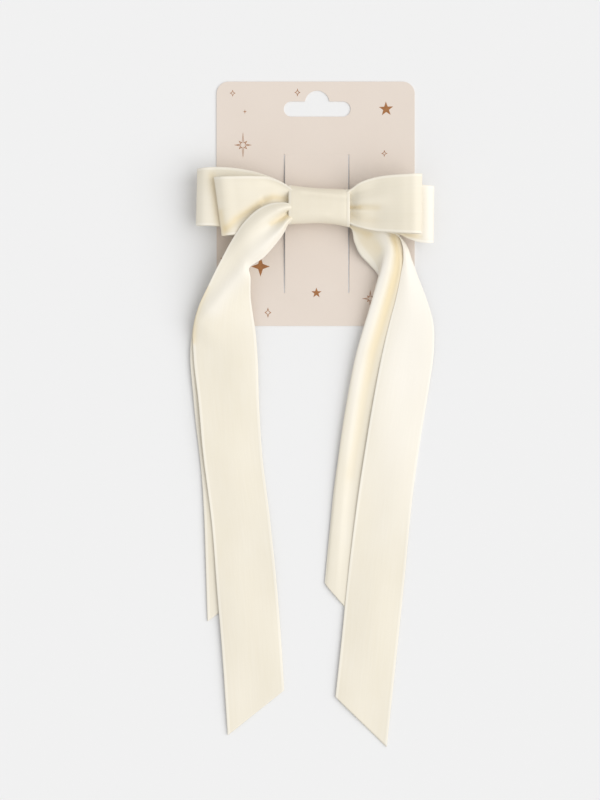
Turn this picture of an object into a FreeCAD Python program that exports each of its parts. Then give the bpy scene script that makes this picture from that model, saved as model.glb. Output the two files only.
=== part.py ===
"""Satin ribbon hair bow on a barrette clasp, clipped to its display card.

The bow lies flat: +Z is up, away from the surface that it rests on, +Y points from the knot to the
hang slot, and +X to the right of someone who looks down on it. The origin is on that surface,
straight below the middle of the knot. Lengths are in millimetres.
"""
import FreeCAD, Part
import os

import Sketcher

# Driving dimensions: alias, value, meaning. The sheet holds them and every object is bound to it.
SIZES = [
    # ribbon
    ("ribbon_width", 25.0, "satin ribbon, selvage to selvage"),
    ("ribbon_wall", 0.5, "thickness of every ribbon solid"),
    ("ply_gap", 0.2, "air between two plies of ribbon inside the knot"),
    # display card
    ("card_width", 82.5, "card along X"),
    ("card_height", 101.7, "card along Y"),
    ("card_wall", 0.4, "board thickness"),
    ("card_corner", 5.0, "corner radius of the card"),
    ("card_side", -1.4, "middle of the card along X"),
    ("card_rise", 1.35, "middle of the card along Y"),
    ("slot_length", 28.4, "euro hang slot along X"),
    ("slot_height", 6.4, "euro hang slot along Y"),
    ("slot_inset", 11.4, "card's top edge to the middle of the slot"),
    ("hook_width", 10.2, "width of the slot's middle notch"),
    ("hook_rise", 4.5, "rise of the middle notch above the slot"),
    ("band_width", 26.2, "band of card between the slits"),
    ("band_side", -1.0, "middle of the band along X"),
    ("band_top", 21.9, "upper end of the slits along Y"),
    ("band_bottom", -35.8, "lower end of the slits along Y"),
    ("slit_width", 0.6, "width of each slit"),
    # barrette clasp
    ("clip_length", 82.0, "base plate along X"),
    ("clip_width", 8.0, "base plate along Y"),
    ("clip_wall", 0.8, "base plate thickness"),
    ("hinge_inset", 1.0, "hinge axis to the end of the base plate"),
    ("pin_radius", 0.6, "hinge pin"),
    ("pin_play", 0.05, "radial clearance of the arm's eye on the pin"),
    ("eye_radius", 1.1, "outside radius of the arm's rolled eye"),
    ("arm_width", 5.4, "clasp arm along Y"),
    ("arm_wall", 0.8, "clasp arm thickness"),
    ("ear_wall", 0.8, "thickness of the ears on the base plate"),
    ("ear_span", 3.0, "length of the catch ears along X"),
    ("catch_gap", 1.2, "arm's free end to the end of the base plate"),
    ("spring_length", 68.0, "tension spring along X"),
    ("spring_width", 4.5, "tension spring along Y"),
    ("spring_wall", 0.25, "tension spring thickness"),
    ("spring_bow", 0.5, "how far the tension spring bows down"),
    ("body_gap", 0.35, "air between the pieces that open and those that stay"),
    # knot
    ("knot_height", 16.3, "knot band along Y"),
    ("knot_depth", 9.0, "knot band along Z"),
    ("knot_tilt", -3.5, "turn of the knot band about Z in degrees"),
    ("glue_length", 22.0, "glue pad along X"),
    ("glue_width", 7.0, "glue pad along Y"),
    ("glue_wall", 0.6, "glue pad thickness"),
    ("thread_span", 3.0, "width of the thread winding along X"),
    ("thread_wall", 0.35, "thickness of the thread winding"),
    # loops
    ("back_loop_left", 50.6, "knot to the left end of the back loop"),
    ("back_loop_right", 48.2, "knot to the right end of the back loop"),
    ("back_loop_puff", 4.4, "height of the back loop's lobes"),
    ("back_loop_tilt", -4.7, "turn of the back loop about Z in degrees"),
    ("front_loop_left", 43.6, "knot to the left end of the front loop"),
    ("front_loop_right", 43.2, "knot to the right end of the front loop"),
    ("front_loop_puff", 5.9, "height of the front loop's lobes"),
    ("front_loop_tilt", 1.0, "turn of the front loop about Z in degrees"),
    ("loop_gather", 5.0, "half width of the loops inside the knot"),
    ("loop_pinch", 1.6, "how far past the knot band a loop's two plies stay together"),
    ("loop_bend", 1.4, "radius of the bend at the end of a lobe"),
    # tails: all places are from the knot's middle
    ("neck", 3.4, "half width of a tail inside the knot"),
    ("front_left_knee_x", -39.4, "middle of the front left tail where it turns down"),
    ("front_left_knee_y", -57.0, "and its place along Y"),
    ("front_left_tip_x", -26.2, "middle of its cut end"),
    ("front_left_tip_y", -210.8, "and its place along Y"),
    ("front_left_slant", 19.0, "how much longer one edge is than the other"),
    ("front_right_knee_x", 36.0, "middle of the front right tail where it turns down"),
    ("front_right_knee_y", -52.0, "and its place along Y"),
    ("front_right_tip_x", 17.5, "middle of its cut end"),
    ("front_right_tip_y", -214.8, "and its place along Y"),
    ("front_right_slant", 21.2, "how much longer one edge is than the other"),
    ("back_left_knee_x", -40.2, "middle of the back left tail where it turns down"),
    ("back_left_knee_y", -58.0, "and its place along Y"),
    ("back_left_tip_x", -33.8, "middle of its cut end"),
    ("back_left_tip_y", -163.5, "and its place along Y"),
    ("back_left_slant", 19.0, "how much longer one edge is than the other"),
    ("back_right_knee_x", 31.5, "middle of the back right tail where it turns down"),
    ("back_right_knee_y", -48.0, "and its place along Y"),
    ("back_right_tip_x", 15.0, "middle of its cut end"),
    ("back_right_tip_y", -169.5, "and its place along Y"),
    ("back_right_slant", 25.0, "how much longer one edge is than the other"),
]

ROOT_HALF = 0.7071  # cosine of 45 degrees
ROUND = 0.92  # rise of a nearly half-round end over half its chord: a full half circle has no free side


class Length:
    """A number and the sheet expression that gives it, so that a formula is written once for both."""

    def __init__(self, number, text):
        self.number = number
        self.text = text

    def _join(self, sign, other, number):
        return Length(number, f"({self.text} {sign} {as_length(other).text})")

    def __add__(self, other):
        return self._join("+", other, self.number + as_length(other).number)

    def __sub__(self, other):
        return self._join("-", other, self.number - as_length(other).number)

    def __mul__(self, other):
        return self._join("*", other, self.number * as_length(other).number)

    def __truediv__(self, other):
        return self._join("/", other, self.number / as_length(other).number)

    def __neg__(self):
        return Length(-self.number, f"(0 - {self.text})")


def as_length(value):
    """A Length as it is, and a plain number as a Length."""
    return value if isinstance(value, Length) else Length(float(value), repr(float(value)))


doc = FreeCAD.newDocument("HairBow")
sheet = doc.addObject("Spreadsheet::Sheet", "Sizes")
for row, (alias, value, meaning) in enumerate(SIZES, start=1):
    sheet.set(f"A{row}", meaning)
    sheet.set(f"B{row}", str(value))
    sheet.setAlias(f"B{row}", alias)
doc.recompute()
size = {alias: Length(value, f"Sizes.{alias}") for alias, value, meaning in SIZES}


def bind(thing, prop, length):
    """Sets one property of an object from the sheet."""
    thing.setExpression(prop, as_length(length).text)


def outline(sketch, corners, bulges=None):
    """Draws one closed outline. Corners are pairs of Lengths. bulges maps a side's number to how far
    that side, an arc, stands out to the right of the way round; every other side is straight."""
    bulges = bulges or {}
    count = len(corners)
    ends = []
    for i in range(count):
        (x0, y0), (x1, y1) = corners[i], corners[(i + 1) % count]
        start = FreeCAD.Vector(x0.number, y0.number, 0)
        stop = FreeCAD.Vector(x1.number, y1.number, 0)
        if i not in bulges:
            side = sketch.addGeometry(Part.LineSegment(start, stop), False)
            ends.append((side, 1, 2))
            continue
        bulge = as_length(bulges[i])
        chord = stop - start
        out = FreeCAD.Vector(chord.y, -chord.x, 0).normalize()
        middle = (start + stop) / 2 + out * bulge.number
        side = sketch.addGeometry(Part.Arc(start, middle, stop), False)
        ahead = sketch.getPoint(side, 1).distanceToPoint(start) < 1e-6
        ends.append((side, 1, 2) if ahead else (side, 2, 1))
        square = (x1 - x0) * (x1 - x0) + (y1 - y0) * (y1 - y0)
        radius = square / 8 / bulge + bulge / 2
        if radius.number < 0:
            radius = -radius
        tie = sketch.addConstraint(Sketcher.Constraint("Radius", side, radius.number))
        bind(sketch, f"Constraints[{tie}]", radius)
    for i in range(count):
        side, first, last = ends[i]
        following = ends[(i + 1) % count]
        sketch.addConstraint(Sketcher.Constraint("Coincident", side, last, following[0], following[1]))
        for way, length in zip(("DistanceX", "DistanceY"), corners[i]):
            tie = sketch.addConstraint(Sketcher.Constraint(way, -1, 1, side, first, length.number))
            bind(sketch, f"Constraints[{tie}]", length)


def rectangle(sketch, low_x, high_x, low_y, high_y):
    """Draws a closed rectangle from its four sides."""
    outline(sketch, [(low_x, low_y), (high_x, low_y), (high_x, high_y), (low_x, high_y)])


def circle(sketch, x, y, radius):
    """Draws a circle at (x, y)."""
    middle = FreeCAD.Vector(x.number, y.number, 0)
    ring = sketch.addGeometry(Part.Circle(middle, FreeCAD.Vector(0, 0, 1), radius.number), False)
    for kind, length in (("Radius", radius), ("DistanceX", x), ("DistanceY", y)):
        if kind == "Radius":
            rule = Sketcher.Constraint(kind, ring, length.number)
        else:
            rule = Sketcher.Constraint(kind, -1, 1, ring, 3, length.number)
        tie = sketch.addConstraint(rule)
        bind(sketch, f"Constraints[{tie}]", length)


def new_body(name):
    """A PartDesign body whose label names its file."""
    body = doc.addObject("PartDesign::Body", name)
    body.Label = name
    return body


def sketch_in(body, name, role, offset=None):
    """A sketch on one of the body's own origin planes, moved along the plane's normal by offset."""
    sketch = body.newObject("Sketcher::SketchObject", name)
    plane = [f for f in body.Origin.OriginFeatures if f.Role == role][0]
    sketch.AttachmentSupport = [(plane, "")]
    sketch.MapMode = "FlatFace"
    if offset is not None:
        bind(sketch, "AttachmentOffset.Base.z", offset)
    return sketch


def pad(body, name, sketch, length, midplane=False):
    """Adds material: the sketch drawn out by length, to both sides if midplane is true."""
    feature = body.newObject("PartDesign::Pad", name)
    feature.Profile = sketch
    feature.Midplane = midplane
    bind(feature, "Length", length)
    return feature


def pocket(body, name, sketch, length):
    """Takes material away to both sides of the sketch."""
    feature = body.newObject("PartDesign::Pocket", name)
    feature.Profile = sketch
    feature.Midplane = True
    bind(feature, "Length", length)
    return feature


def free_sketch(name, turn):
    """A sketch outside any body, turned from the XY plane by a Rotation."""
    sketch = doc.addObject("Sketcher::SketchObject", name)
    sketch.Placement = FreeCAD.Placement(FreeCAD.Vector(), turn)
    return sketch


def drawn_out(name, sketch, way, length, symmetric=False):
    """The sketch drawn out along the vector way."""
    solid = doc.addObject("Part::Extrusion", name)
    solid.Base = sketch
    solid.DirMode = "Custom"
    solid.Dir = way
    solid.Solid = True
    solid.Symmetric = symmetric
    solid.FaceMakerClass = "Part::FaceMakerBullseye"
    bind(solid, "LengthFwd", length)
    return solid


def cut_from_strip(name, side, plan):
    """A ribbon: what its side view and its plan view have in common."""
    ribbon = doc.addObject("Part::Common", name)
    ribbon.Base = side
    ribbon.Tool = plan
    ribbon.Label = name
    return ribbon


# ---- levels: the heights of the stack above the surface, from the sizes ----
NIL = Length(0.0, "0")
seat = size["body_gap"] - 0.05  # the arm lies this far above the card
arm_low = size["card_wall"] + seat
arm_high = arm_low + size["arm_wall"]
band_low = arm_high + 0.05
band_high = band_low + size["card_wall"]
hinge_z = arm_low + size["eye_radius"]
plate_low = band_high + size["body_gap"] + size["spring_bow"] + size["spring_wall"]
plate_high = plate_low + size["clip_wall"]
knot_low = plate_high + size["glue_wall"]
knot_high = knot_low + size["knot_depth"]
thread_low = knot_low + size["ribbon_wall"] + 0.1
ply_step = size["ribbon_wall"] + size["ply_gap"]
back_tail_z = thread_low + size["thread_wall"] + 0.1
front_tail_z = back_tail_z + ply_step
back_loop_z = front_tail_z + ply_step
front_loop_z = back_loop_z + size["ribbon_wall"] * 2 + size["ply_gap"]
top_tail_z = front_loop_z + size["ribbon_wall"] * 2 + size["ply_gap"]
thread_high = top_tail_z + size["ribbon_wall"] + 0.25 + size["thread_wall"]
hinge_x = size["hinge_inset"] - size["clip_length"] / 2
half_knot = size["ribbon_width"] / 2
half_ribbon = size["ribbon_width"] / 2
# how far the sides and the top of each wrap bulge out
KNOT_SIDE_BULGE, KNOT_TOP_BULGE = as_length(2.6), as_length(1.2)
WINDING_SIDE_BULGE, WINDING_TOP_BULGE = as_length(2.0), as_length(0.3)
# how far the ends of each loop stand above the knot: the front loop rides up over the back one
BACK_LOOP_LIFT, FRONT_LOOP_LIFT = as_length(0.8), as_length(3.9)

# ---- display card ----
card_left = size["card_side"] - size["card_width"] / 2
card_right = size["card_side"] + size["card_width"] / 2
card_foot = size["card_rise"] - size["card_height"] / 2
card_head = size["card_rise"] + size["card_height"] / 2
slot_y = card_head - size["slot_inset"]


def make_display_card():
    """Rounded board with a hang slot; the band between its slits arches over the clasp arm."""
    card = new_body("display_card")
    board = sketch_in(card, "card_outline", "XY_Plane")
    r = size["card_corner"]
    sag = r * (1 - ROOT_HALF)
    outline(
        board,
        [
            (card_left + r, card_foot),
            (card_right - r, card_foot),
            (card_right, card_foot + r),
            (card_right, card_head - r),
            (card_right - r, card_head),
            (card_left + r, card_head),
            (card_left, card_head - r),
            (card_left, card_foot + r),
        ],
        {1: sag, 3: sag, 5: sag, 7: sag},
    )
    pad(card, "card_board", board, size["card_wall"])
    hang = sketch_in(card, "hang_slot_outline", "XY_Plane")
    reach = size["slot_length"] / 2 - size["slot_height"] / 2
    low = slot_y - size["slot_height"] / 2
    high = slot_y + size["slot_height"] / 2
    notch = size["hook_width"] / 2
    middle = size["card_side"] + 0.65  # the slot is punched a little off the card's middle
    outline(
        hang,
        [
            (middle - reach, low),
            (middle + reach, low),
            (middle + reach, high),
            (middle + notch, high),
            (middle - notch, high),
            (middle - reach, high),
        ],
        {1: size["slot_height"] / 2 * ROUND, 3: size["hook_rise"], 5: size["slot_height"] / 2 * ROUND},
    )
    pocket(card, "hang_slot", hang, size["card_wall"] * 4)
    window = sketch_in(card, "window_outline", "XY_Plane")
    half_window = size["band_width"] / 2 + size["slit_width"]
    rectangle(
        window,
        size["band_side"] - half_window,
        size["band_side"] + half_window,
        size["band_bottom"],
        size["band_top"],
    )
    pocket(card, "band_window", window, size["card_wall"] * 4)
    arch = sketch_in(card, "band_side_view", "YZ_Plane", size["band_side"])
    wall = size["card_wall"]
    flat = size["clip_width"] / 2 + 1.0  # half of the level stretch over the clasp arm
    lap = 0.5  # the band runs this far into the board at each end
    outline(
        arch,
        [
            (size["band_bottom"] - lap, NIL),
            (size["band_bottom"], NIL),
            (-flat, band_low),
            (flat, band_low),
            (size["band_top"], NIL),
            (size["band_top"] + lap, NIL),
            (size["band_top"] + lap, wall),
            (size["band_top"], wall),
            (flat, band_high),
            (-flat, band_high),
            (size["band_bottom"], wall),
            (size["band_bottom"] - lap, wall),
        ],
    )
    pad(card, "raised_band", arch, size["band_width"], midplane=True)
    return card


# ---- barrette clasp ----
def make_clasp_arm():
    """Flat bar with a rolled eye round the hinge pin; its free end lies between the catch ears."""
    arm = new_body("clasp_arm")
    bar = sketch_in(arm, "arm_side_view", "XZ_Plane")
    rectangle(bar, hinge_x, size["clip_length"] / 2 - size["catch_gap"], arm_low, arm_high)
    pad(arm, "arm_bar", bar, size["arm_width"], midplane=True)
    eye = sketch_in(arm, "eye_outline", "XZ_Plane")
    circle(eye, hinge_x, hinge_z, size["eye_radius"])
    pad(arm, "rolled_eye", eye, size["arm_width"], midplane=True)
    bore = sketch_in(arm, "eye_bore_outline", "XZ_Plane")
    circle(bore, hinge_x, hinge_z, size["pin_radius"] + size["pin_play"])
    pocket(arm, "eye_bore", bore, size["clip_width"])
    return arm


def make_base_plate():
    """Long plate with a pair of ears for the pin at one end and a pair for the catch at the other."""
    plate = new_body("base_plate")
    top = sketch_in(plate, "plate_outline", "XY_Plane", plate_low)
    half = size["clip_length"] / 2
    wide = size["clip_width"] / 2
    end_bulge = 1.2  # how far each rounded end stands out
    outline(
        top,
        [(-half, -wide), (half, -wide), (half, wide), (-half, wide)],
        {1: end_bulge, 3: end_bulge},
    )
    pad(plate, "plate", top, size["clip_wall"])
    ears = sketch_in(plate, "ears_side_view", "XZ_Plane")
    r = size["eye_radius"]
    outline(
        ears,
        [(hinge_x - r, plate_low), (hinge_x - r, hinge_z), (hinge_x + r, hinge_z), (hinge_x + r, plate_low)],
        {1: r * ROUND},
    )
    rectangle(ears, half - size["ear_span"], half, arm_low + 0.1, plate_low)
    pad(plate, "ears", ears, size["clip_width"], midplane=True)
    gap = sketch_in(plate, "between_ears_outline", "XZ_Plane")
    rectangle(gap, -half - 3, half + 3, arm_low - 1, plate_low)
    pocket(plate, "between_ears", gap, size["clip_width"] - size["ear_wall"] * 2)
    bore = sketch_in(plate, "pin_bore_outline", "XZ_Plane")
    circle(bore, hinge_x, hinge_z, size["pin_radius"])
    pocket(plate, "pin_bore", bore, size["clip_width"] * 2)
    return plate


def make_hinge_pin():
    """Plain pin through both ears, along Y."""
    pin = doc.addObject("Part::Cylinder", "hinge_pin")
    pin.Label = "hinge_pin"
    bind(pin, "Radius", size["pin_radius"])
    bind(pin, "Height", size["clip_width"])
    pin.Placement = FreeCAD.Placement(
        FreeCAD.Vector(), FreeCAD.Rotation(FreeCAD.Vector(1, 0, 0), -90)
    )
    bind(pin, "Placement.Base.x", hinge_x)
    bind(pin, "Placement.Base.y", -(size["clip_width"] / 2))
    bind(pin, "Placement.Base.z", hinge_z)
    return pin


def make_tension_spring():
    """Bowed strip whose ends bear on the plate and whose middle presses what the clasp holds."""
    spring = new_body("tension_spring")
    side = sketch_in(spring, "spring_side_view", "XZ_Plane")
    half = size["spring_length"] / 2
    low = plate_low - size["spring_wall"]
    outline(
        side,
        [(-half, low), (half, low), (half, plate_low), (-half, plate_low)],
        {0: size["spring_bow"], 2: -size["spring_bow"]},
    )
    pad(spring, "strip", side, size["spring_width"], midplane=True)
    return spring


def make_glue_pad():
    """Layer of glue between the base plate and the underside of the knot band."""
    glue = doc.addObject("Part::Box", "glue_pad")
    glue.Label = "glue_pad"
    bind(glue, "Length", size["glue_length"])
    bind(glue, "Width", size["glue_width"])
    bind(glue, "Height", size["glue_wall"])
    bind(glue, "Placement.Base.x", -(size["glue_length"] / 2))
    bind(glue, "Placement.Base.y", -(size["glue_width"] / 2))
    bind(glue, "Placement.Base.z", plate_high)
    return glue


# ---- knot ----
def ring(sketch, half, low, high, side_bulge, top_bulge):
    """Closed outline of one wrap round the gathered ribbons: flat below, round at the sides."""
    shoulder = half - side_bulge
    corners = [(-shoulder, low), (shoulder, low), (shoulder, high - top_bulge), (-shoulder, high - top_bulge)]
    outline(sketch, corners, {1: side_bulge, 2: top_bulge, 3: side_bulge})


def make_wrap(name, width, half, low, high, wall, side_bulge, top_bulge):
    """A closed band round the ribbons, drawn out along X."""
    wrap = new_body(name)
    section = sketch_in(wrap, name + "_section", "YZ_Plane")
    ring(section, half, low, high, side_bulge, top_bulge)
    ring(section, half - wall, low + wall, high - wall, side_bulge - wall / 2, top_bulge - wall / 8)
    pad(wrap, name + "_wrap", section, width, midplane=True)
    return wrap


def make_knot_band():
    """The ribbon wrapped once round the middle."""
    knot = make_wrap(
        "knot_band",
        size["ribbon_width"],
        size["knot_height"] / 2,
        knot_low,
        knot_high,
        size["ribbon_wall"],
        KNOT_SIDE_BULGE,
        KNOT_TOP_BULGE,
    )
    knot.Placement = FreeCAD.Placement(
        FreeCAD.Vector(), FreeCAD.Rotation(FreeCAD.Vector(0, 0, 1), size["knot_tilt"].number)
    )
    bind(knot, "Placement.Rotation.Angle", size["knot_tilt"])
    return knot


def make_gather_thread():
    """Thread wound side by side round the gathered plies, under the knot band."""
    half = size["knot_height"] / 2 - size["ribbon_wall"] - 0.6
    return make_wrap(
        "gather_thread",
        size["thread_span"],
        half,
        thread_low,
        thread_high,
        size["thread_wall"],
        WINDING_SIDE_BULGE,
        WINDING_TOP_BULGE,
    )


# ---- loops ----
UPRIGHT = FreeCAD.Rotation(FreeCAD.Vector(1, 0, 0), 90)  # sketch x along X, sketch y along Z
ALONG_Y = FreeCAD.Vector(0, 1, 0)
ALONG_Z = FreeCAD.Vector(0, 0, 1)
stack_top = knot_high + 20  # above every ribbon


def make_loop(name, low, lift):
    """A closed loop pinched in the middle. Seen from the side each lobe is two arcs and a round bend;
    low is the underside at the knot and lift is how far a lobe's end stands above it."""
    left, right = size[name + "_left"], size[name + "_right"]
    puff, bend, wall = size[name + "_puff"], size["loop_bend"], size["ribbon_wall"]
    side = free_sketch(name + "_side_view", UPRIGHT)
    high = low + wall * 2
    end_low = low + lift
    end_high = end_low + bend * 2
    crown = puff - (end_high - low) / 2 - wall + lift / 2
    belly = lift / 2
    pinch = half_knot + size["loop_pinch"]
    outline(
        side,
        [
            (-pinch, low),
            (pinch, low),
            (right - bend, end_low),
            (right - bend, end_high),
            (pinch, high),
            (-pinch, high),
            (bend - left, end_high),
            (bend - left, end_low),
        ],
        {1: -belly, 2: bend * ROUND, 3: crown, 5: crown, 6: bend * ROUND, 7: -belly},
    )
    for way, far in ((1, right - bend), (-1, left - bend)):
        part = 1.5  # the plies part this far past the pinch
        under_rise = (lift + belly * 4) * part / (far - pinch)
        over_rise = (end_high - high + crown * 4) * part / (far - pinch)
        start = (pinch + part) * way
        stop = far * way
        corners = [
            (start, low + under_rise + wall * 0.9),
            (stop, end_low + wall),
            (stop, end_high - wall),
            (start, high + over_rise - wall * 1.3),
        ]
        bulges = {0: -belly, 1: (bend - wall) * ROUND, 2: crown - wall / 2}
        if way < 0:
            corners = [corners[1], corners[0], corners[3], corners[2]]
            bulges = {0: -belly, 2: crown - wall / 2, 3: (bend - wall) * ROUND}
        outline(side, corners, bulges)
    strip = drawn_out(name + "_strip", side, ALONG_Y, size["ribbon_width"] * 2, symmetric=True)
    plan = free_sketch(name + "_plan_view", FreeCAD.Rotation())
    neck = size["loop_gather"]
    flare = half_knot * 1.9  # here the lobe has its full width
    outline(
        plan,
        [
            (-left, -half_ribbon),
            (-flare, -half_ribbon),
            (-half_knot, -neck),
            (half_knot, -neck),
            (flare, -half_ribbon),
            (right, -half_ribbon),
            (right, half_ribbon),
            (flare, half_ribbon),
            (half_knot, neck),
            (-half_knot, neck),
            (-flare, half_ribbon),
            (-left, half_ribbon),
        ],
    )
    outer = drawn_out(name + "_plan", plan, ALONG_Z, stack_top)
    loop = cut_from_strip(name, strip, outer)
    tilt = size[name + "_tilt"]
    loop.Placement = FreeCAD.Placement(FreeCAD.Vector(), FreeCAD.Rotation(ALONG_Z, tilt.number))
    bind(loop, "Placement.Rotation.Angle", tilt)
    return loop


# ---- tails ----
def make_tail(name, sign, levels, mouth, shoulder, corner):
    """One tail. levels are (distance along the diagonal, height of the underside) pairs for its side
    view. mouth is where its two edges leave the knot along Y, and shoulder and corner are the outer
    and inner points of the plan between knot and knee."""
    which = name.removesuffix("_tail")
    knee_x, knee_y = size[which + "_knee_x"], size[which + "_knee_y"]
    tip_x, tip_y = size[which + "_tip_x"], size[which + "_tip_y"]
    slant = size[which + "_slant"] / 2
    wall, neck = size["ribbon_wall"], size["neck"]
    diagonal = FreeCAD.Rotation(ALONG_Z, -45 if sign > 0 else -135) * UPRIGHT
    side = free_sketch(name + "_side_view", diagonal)
    under = [(as_length(s), z) for s, z in levels]
    over = [(s, z + wall) for s, z in reversed(under)]
    outline(side, under + over)
    across = FreeCAD.Vector(1, sign, 0).normalize()
    strip = drawn_out(name + "_strip", side, across, size["clip_length"] * 8, symmetric=True)
    plan = free_sketch(name + "_plan_view", FreeCAD.Rotation())
    start = Length(sign * 0.5, repr(sign * 0.5))
    mouth_x = (half_knot + 0.75) * sign
    outer = half_ribbon * sign
    outline(
        plan,
        [
            (start, neck),
            (mouth_x, mouth[0]),
            shoulder,
            (knee_x + outer, knee_y),
            (tip_x + outer, tip_y - slant),
            (tip_x - outer, tip_y + slant),
            (knee_x - outer, knee_y),
            corner,
            (mouth_x, mouth[1]),
            (start, -neck),
        ],
    )
    return cut_from_strip(name, strip, drawn_out(name + "_plan", plan, ALONG_Z, stack_top))


def make_tails():
    """Three tails leave the knot under the loops; the front left one crosses over them."""
    on_card = size["card_wall"] + size["body_gap"]
    wall_step = size["ribbon_wall"] + 0.3
    clear_plate = half_knot + 5.5  # past the base plate along the diagonal
    on_slope = clear_plate + 14
    past_card = half_knot * 5.3
    past_back_tails = half_knot * 12.6
    far = half_knot * 20
    back = [(-8, back_tail_z), (clear_plate, back_tail_z), (on_slope, on_card)]
    back_rest = [(past_card, on_card), (past_card + 8, NIL), (far, NIL)]
    over_back = [
        (past_card, on_card + wall_step),
        (past_card + 8, wall_step),
        (past_back_tails, wall_step),
        (past_back_tails + 8, NIL),
        (far, NIL),
    ]
    front = [(-8, front_tail_z), (clear_plate, front_tail_z), (on_slope, on_card + wall_step)]
    loop_crown = front_loop_z + size["front_loop_puff"] + 3.4
    crossing = [
        (-8, top_tail_z),
        (size["thread_span"] + 0.5, top_tail_z),
        (half_knot * 0.72, knot_high - size["ribbon_wall"] - 1.9),
        (half_knot * 0.976, knot_high - size["ribbon_wall"] - 1.35),
        (half_knot * 1.4, loop_crown),
        (half_knot * 3.1, loop_crown),
        (half_knot * 4.7, on_card + wall_step),
    ]
    level_mouth = (size["neck"], -size["neck"])
    make_tail("back_left_tail", -1, back + back_rest, level_mouth,
              (-half_knot * 2.75, -half_knot * 1.45), (-half_knot * 1.9, -half_knot * 1.8))
    make_tail("back_right_tail", 1, back + back_rest, level_mouth,
              (half_knot * 2.55, -half_knot * 1.15), (half_knot * 1.8, -half_knot * 2.0))
    make_tail("front_right_tail", 1, front + over_back, level_mouth,
              (half_knot * 2.9, -half_knot * 1.25), (half_knot * 2.0, -half_knot * 2.1))
    make_tail("front_left_tail", -1, crossing + over_back, (size["neck"] - 2.4, -size["neck"] + 0.1),
              (-half_knot * 2.45, -half_knot * 0.75), (-half_knot * 2.25, -half_knot * 2.1))


NODES = [
    "display_card", "clasp_arm", "base_plate", "hinge_pin", "tension_spring", "glue_pad",
    "back_left_tail", "back_right_tail", "front_right_tail", "front_left_tail",
    "back_loop", "front_loop", "gather_thread", "knot_band",
]


def write_parts():
    """Writes every sub-part, once each object of the document is known to be sound."""
    doc.recompute()
    for thing in doc.Objects:
        bad = [state for state in thing.State if state in ("Invalid", "Error")]
        if bad:
            raise RuntimeError(f"{thing.Name}: {bad}")
    os.makedirs("parts", exist_ok=True)
    for name in NODES:
        thing = doc.getObject(name)
        shape = thing.Shape
        if shape.isNull() or not shape.isValid() or not shape.Solids:
            raise RuntimeError(f"{name} has no sound shape")
        print(f"{name:18s} solids {len(shape.Solids)}  volume {shape.Volume:9.2f} mm3")
        shape.exportStep(f"parts/{name}.step")


make_display_card()
make_clasp_arm()
make_base_plate()
make_hinge_pin()
make_tension_spring()
make_glue_pad()
make_loop("back_loop", back_loop_z, BACK_LOOP_LIFT)
make_loop("front_loop", front_loop_z, FRONT_LOOP_LIFT)
make_tails()
make_gather_thread()
make_knot_band()
write_parts()
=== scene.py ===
"""Looks of a satin hair bow on a barrette clasp and its display card, around the CAD frame.

Points in this file are in millimetres in the frame's own axes: X to the right, Y towards the hang
slot, Z up from the surface. They become metres when a mesh is made.
"""
import math

import bmesh
import bpy
import numpy as np
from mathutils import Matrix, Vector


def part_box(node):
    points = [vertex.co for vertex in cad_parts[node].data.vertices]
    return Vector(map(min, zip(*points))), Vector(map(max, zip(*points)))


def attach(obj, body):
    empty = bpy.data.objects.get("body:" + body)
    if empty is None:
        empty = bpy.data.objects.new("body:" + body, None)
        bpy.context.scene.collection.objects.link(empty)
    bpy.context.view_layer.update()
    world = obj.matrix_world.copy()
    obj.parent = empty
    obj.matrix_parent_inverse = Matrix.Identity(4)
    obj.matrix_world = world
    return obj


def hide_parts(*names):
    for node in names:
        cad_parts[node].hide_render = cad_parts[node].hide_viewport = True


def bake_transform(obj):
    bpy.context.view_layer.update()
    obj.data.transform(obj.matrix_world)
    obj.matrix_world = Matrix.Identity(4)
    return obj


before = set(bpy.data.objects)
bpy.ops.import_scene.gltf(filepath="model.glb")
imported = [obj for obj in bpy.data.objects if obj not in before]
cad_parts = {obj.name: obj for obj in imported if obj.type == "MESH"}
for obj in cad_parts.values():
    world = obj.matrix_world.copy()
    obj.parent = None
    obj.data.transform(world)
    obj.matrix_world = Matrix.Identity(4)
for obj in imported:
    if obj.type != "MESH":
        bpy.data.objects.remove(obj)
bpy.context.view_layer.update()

bl_info = {
    "name": "Satin hair bow",
    "version": (1, 0, 0),
    "blender": (4, 5, 0),
    "location": "View3D > Sidebar > Hair bow",
    "description": "Makes the ribbons, the clasp finish, the printed card and the stage of a hair bow",
    "category": "Add Mesh",
}

MM = 0.001
ROOT = "card_and_arm"  # the body that lies still
BOW = "bow"  # the body that turns on the clasp's hinge
BOARD = 0.4  # thickness of the card

# sRGB hex codes of the hidden pieces and of the paper under the bow
GLUE, GLUE_CLOUD = "E6DDC6", "F4EFE2"
THREAD, THREAD_SHADE = "F2E9D6", "D8CCB4"
PLATE, PLATE_DULL = "D9D8D4", "B9B8B5"
STRIP, STRIP_DULL = "C2C2C4", "9FA0A3"
PAPER = "F0F0F0"


def box_mm(node):
    """Lowest and highest corner of a CAD node in millimetres."""
    low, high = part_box(node)
    return np.array(low) / MM, np.array(high) / MM


# ---------------------------------------------------------------- curves and surfaces


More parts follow.
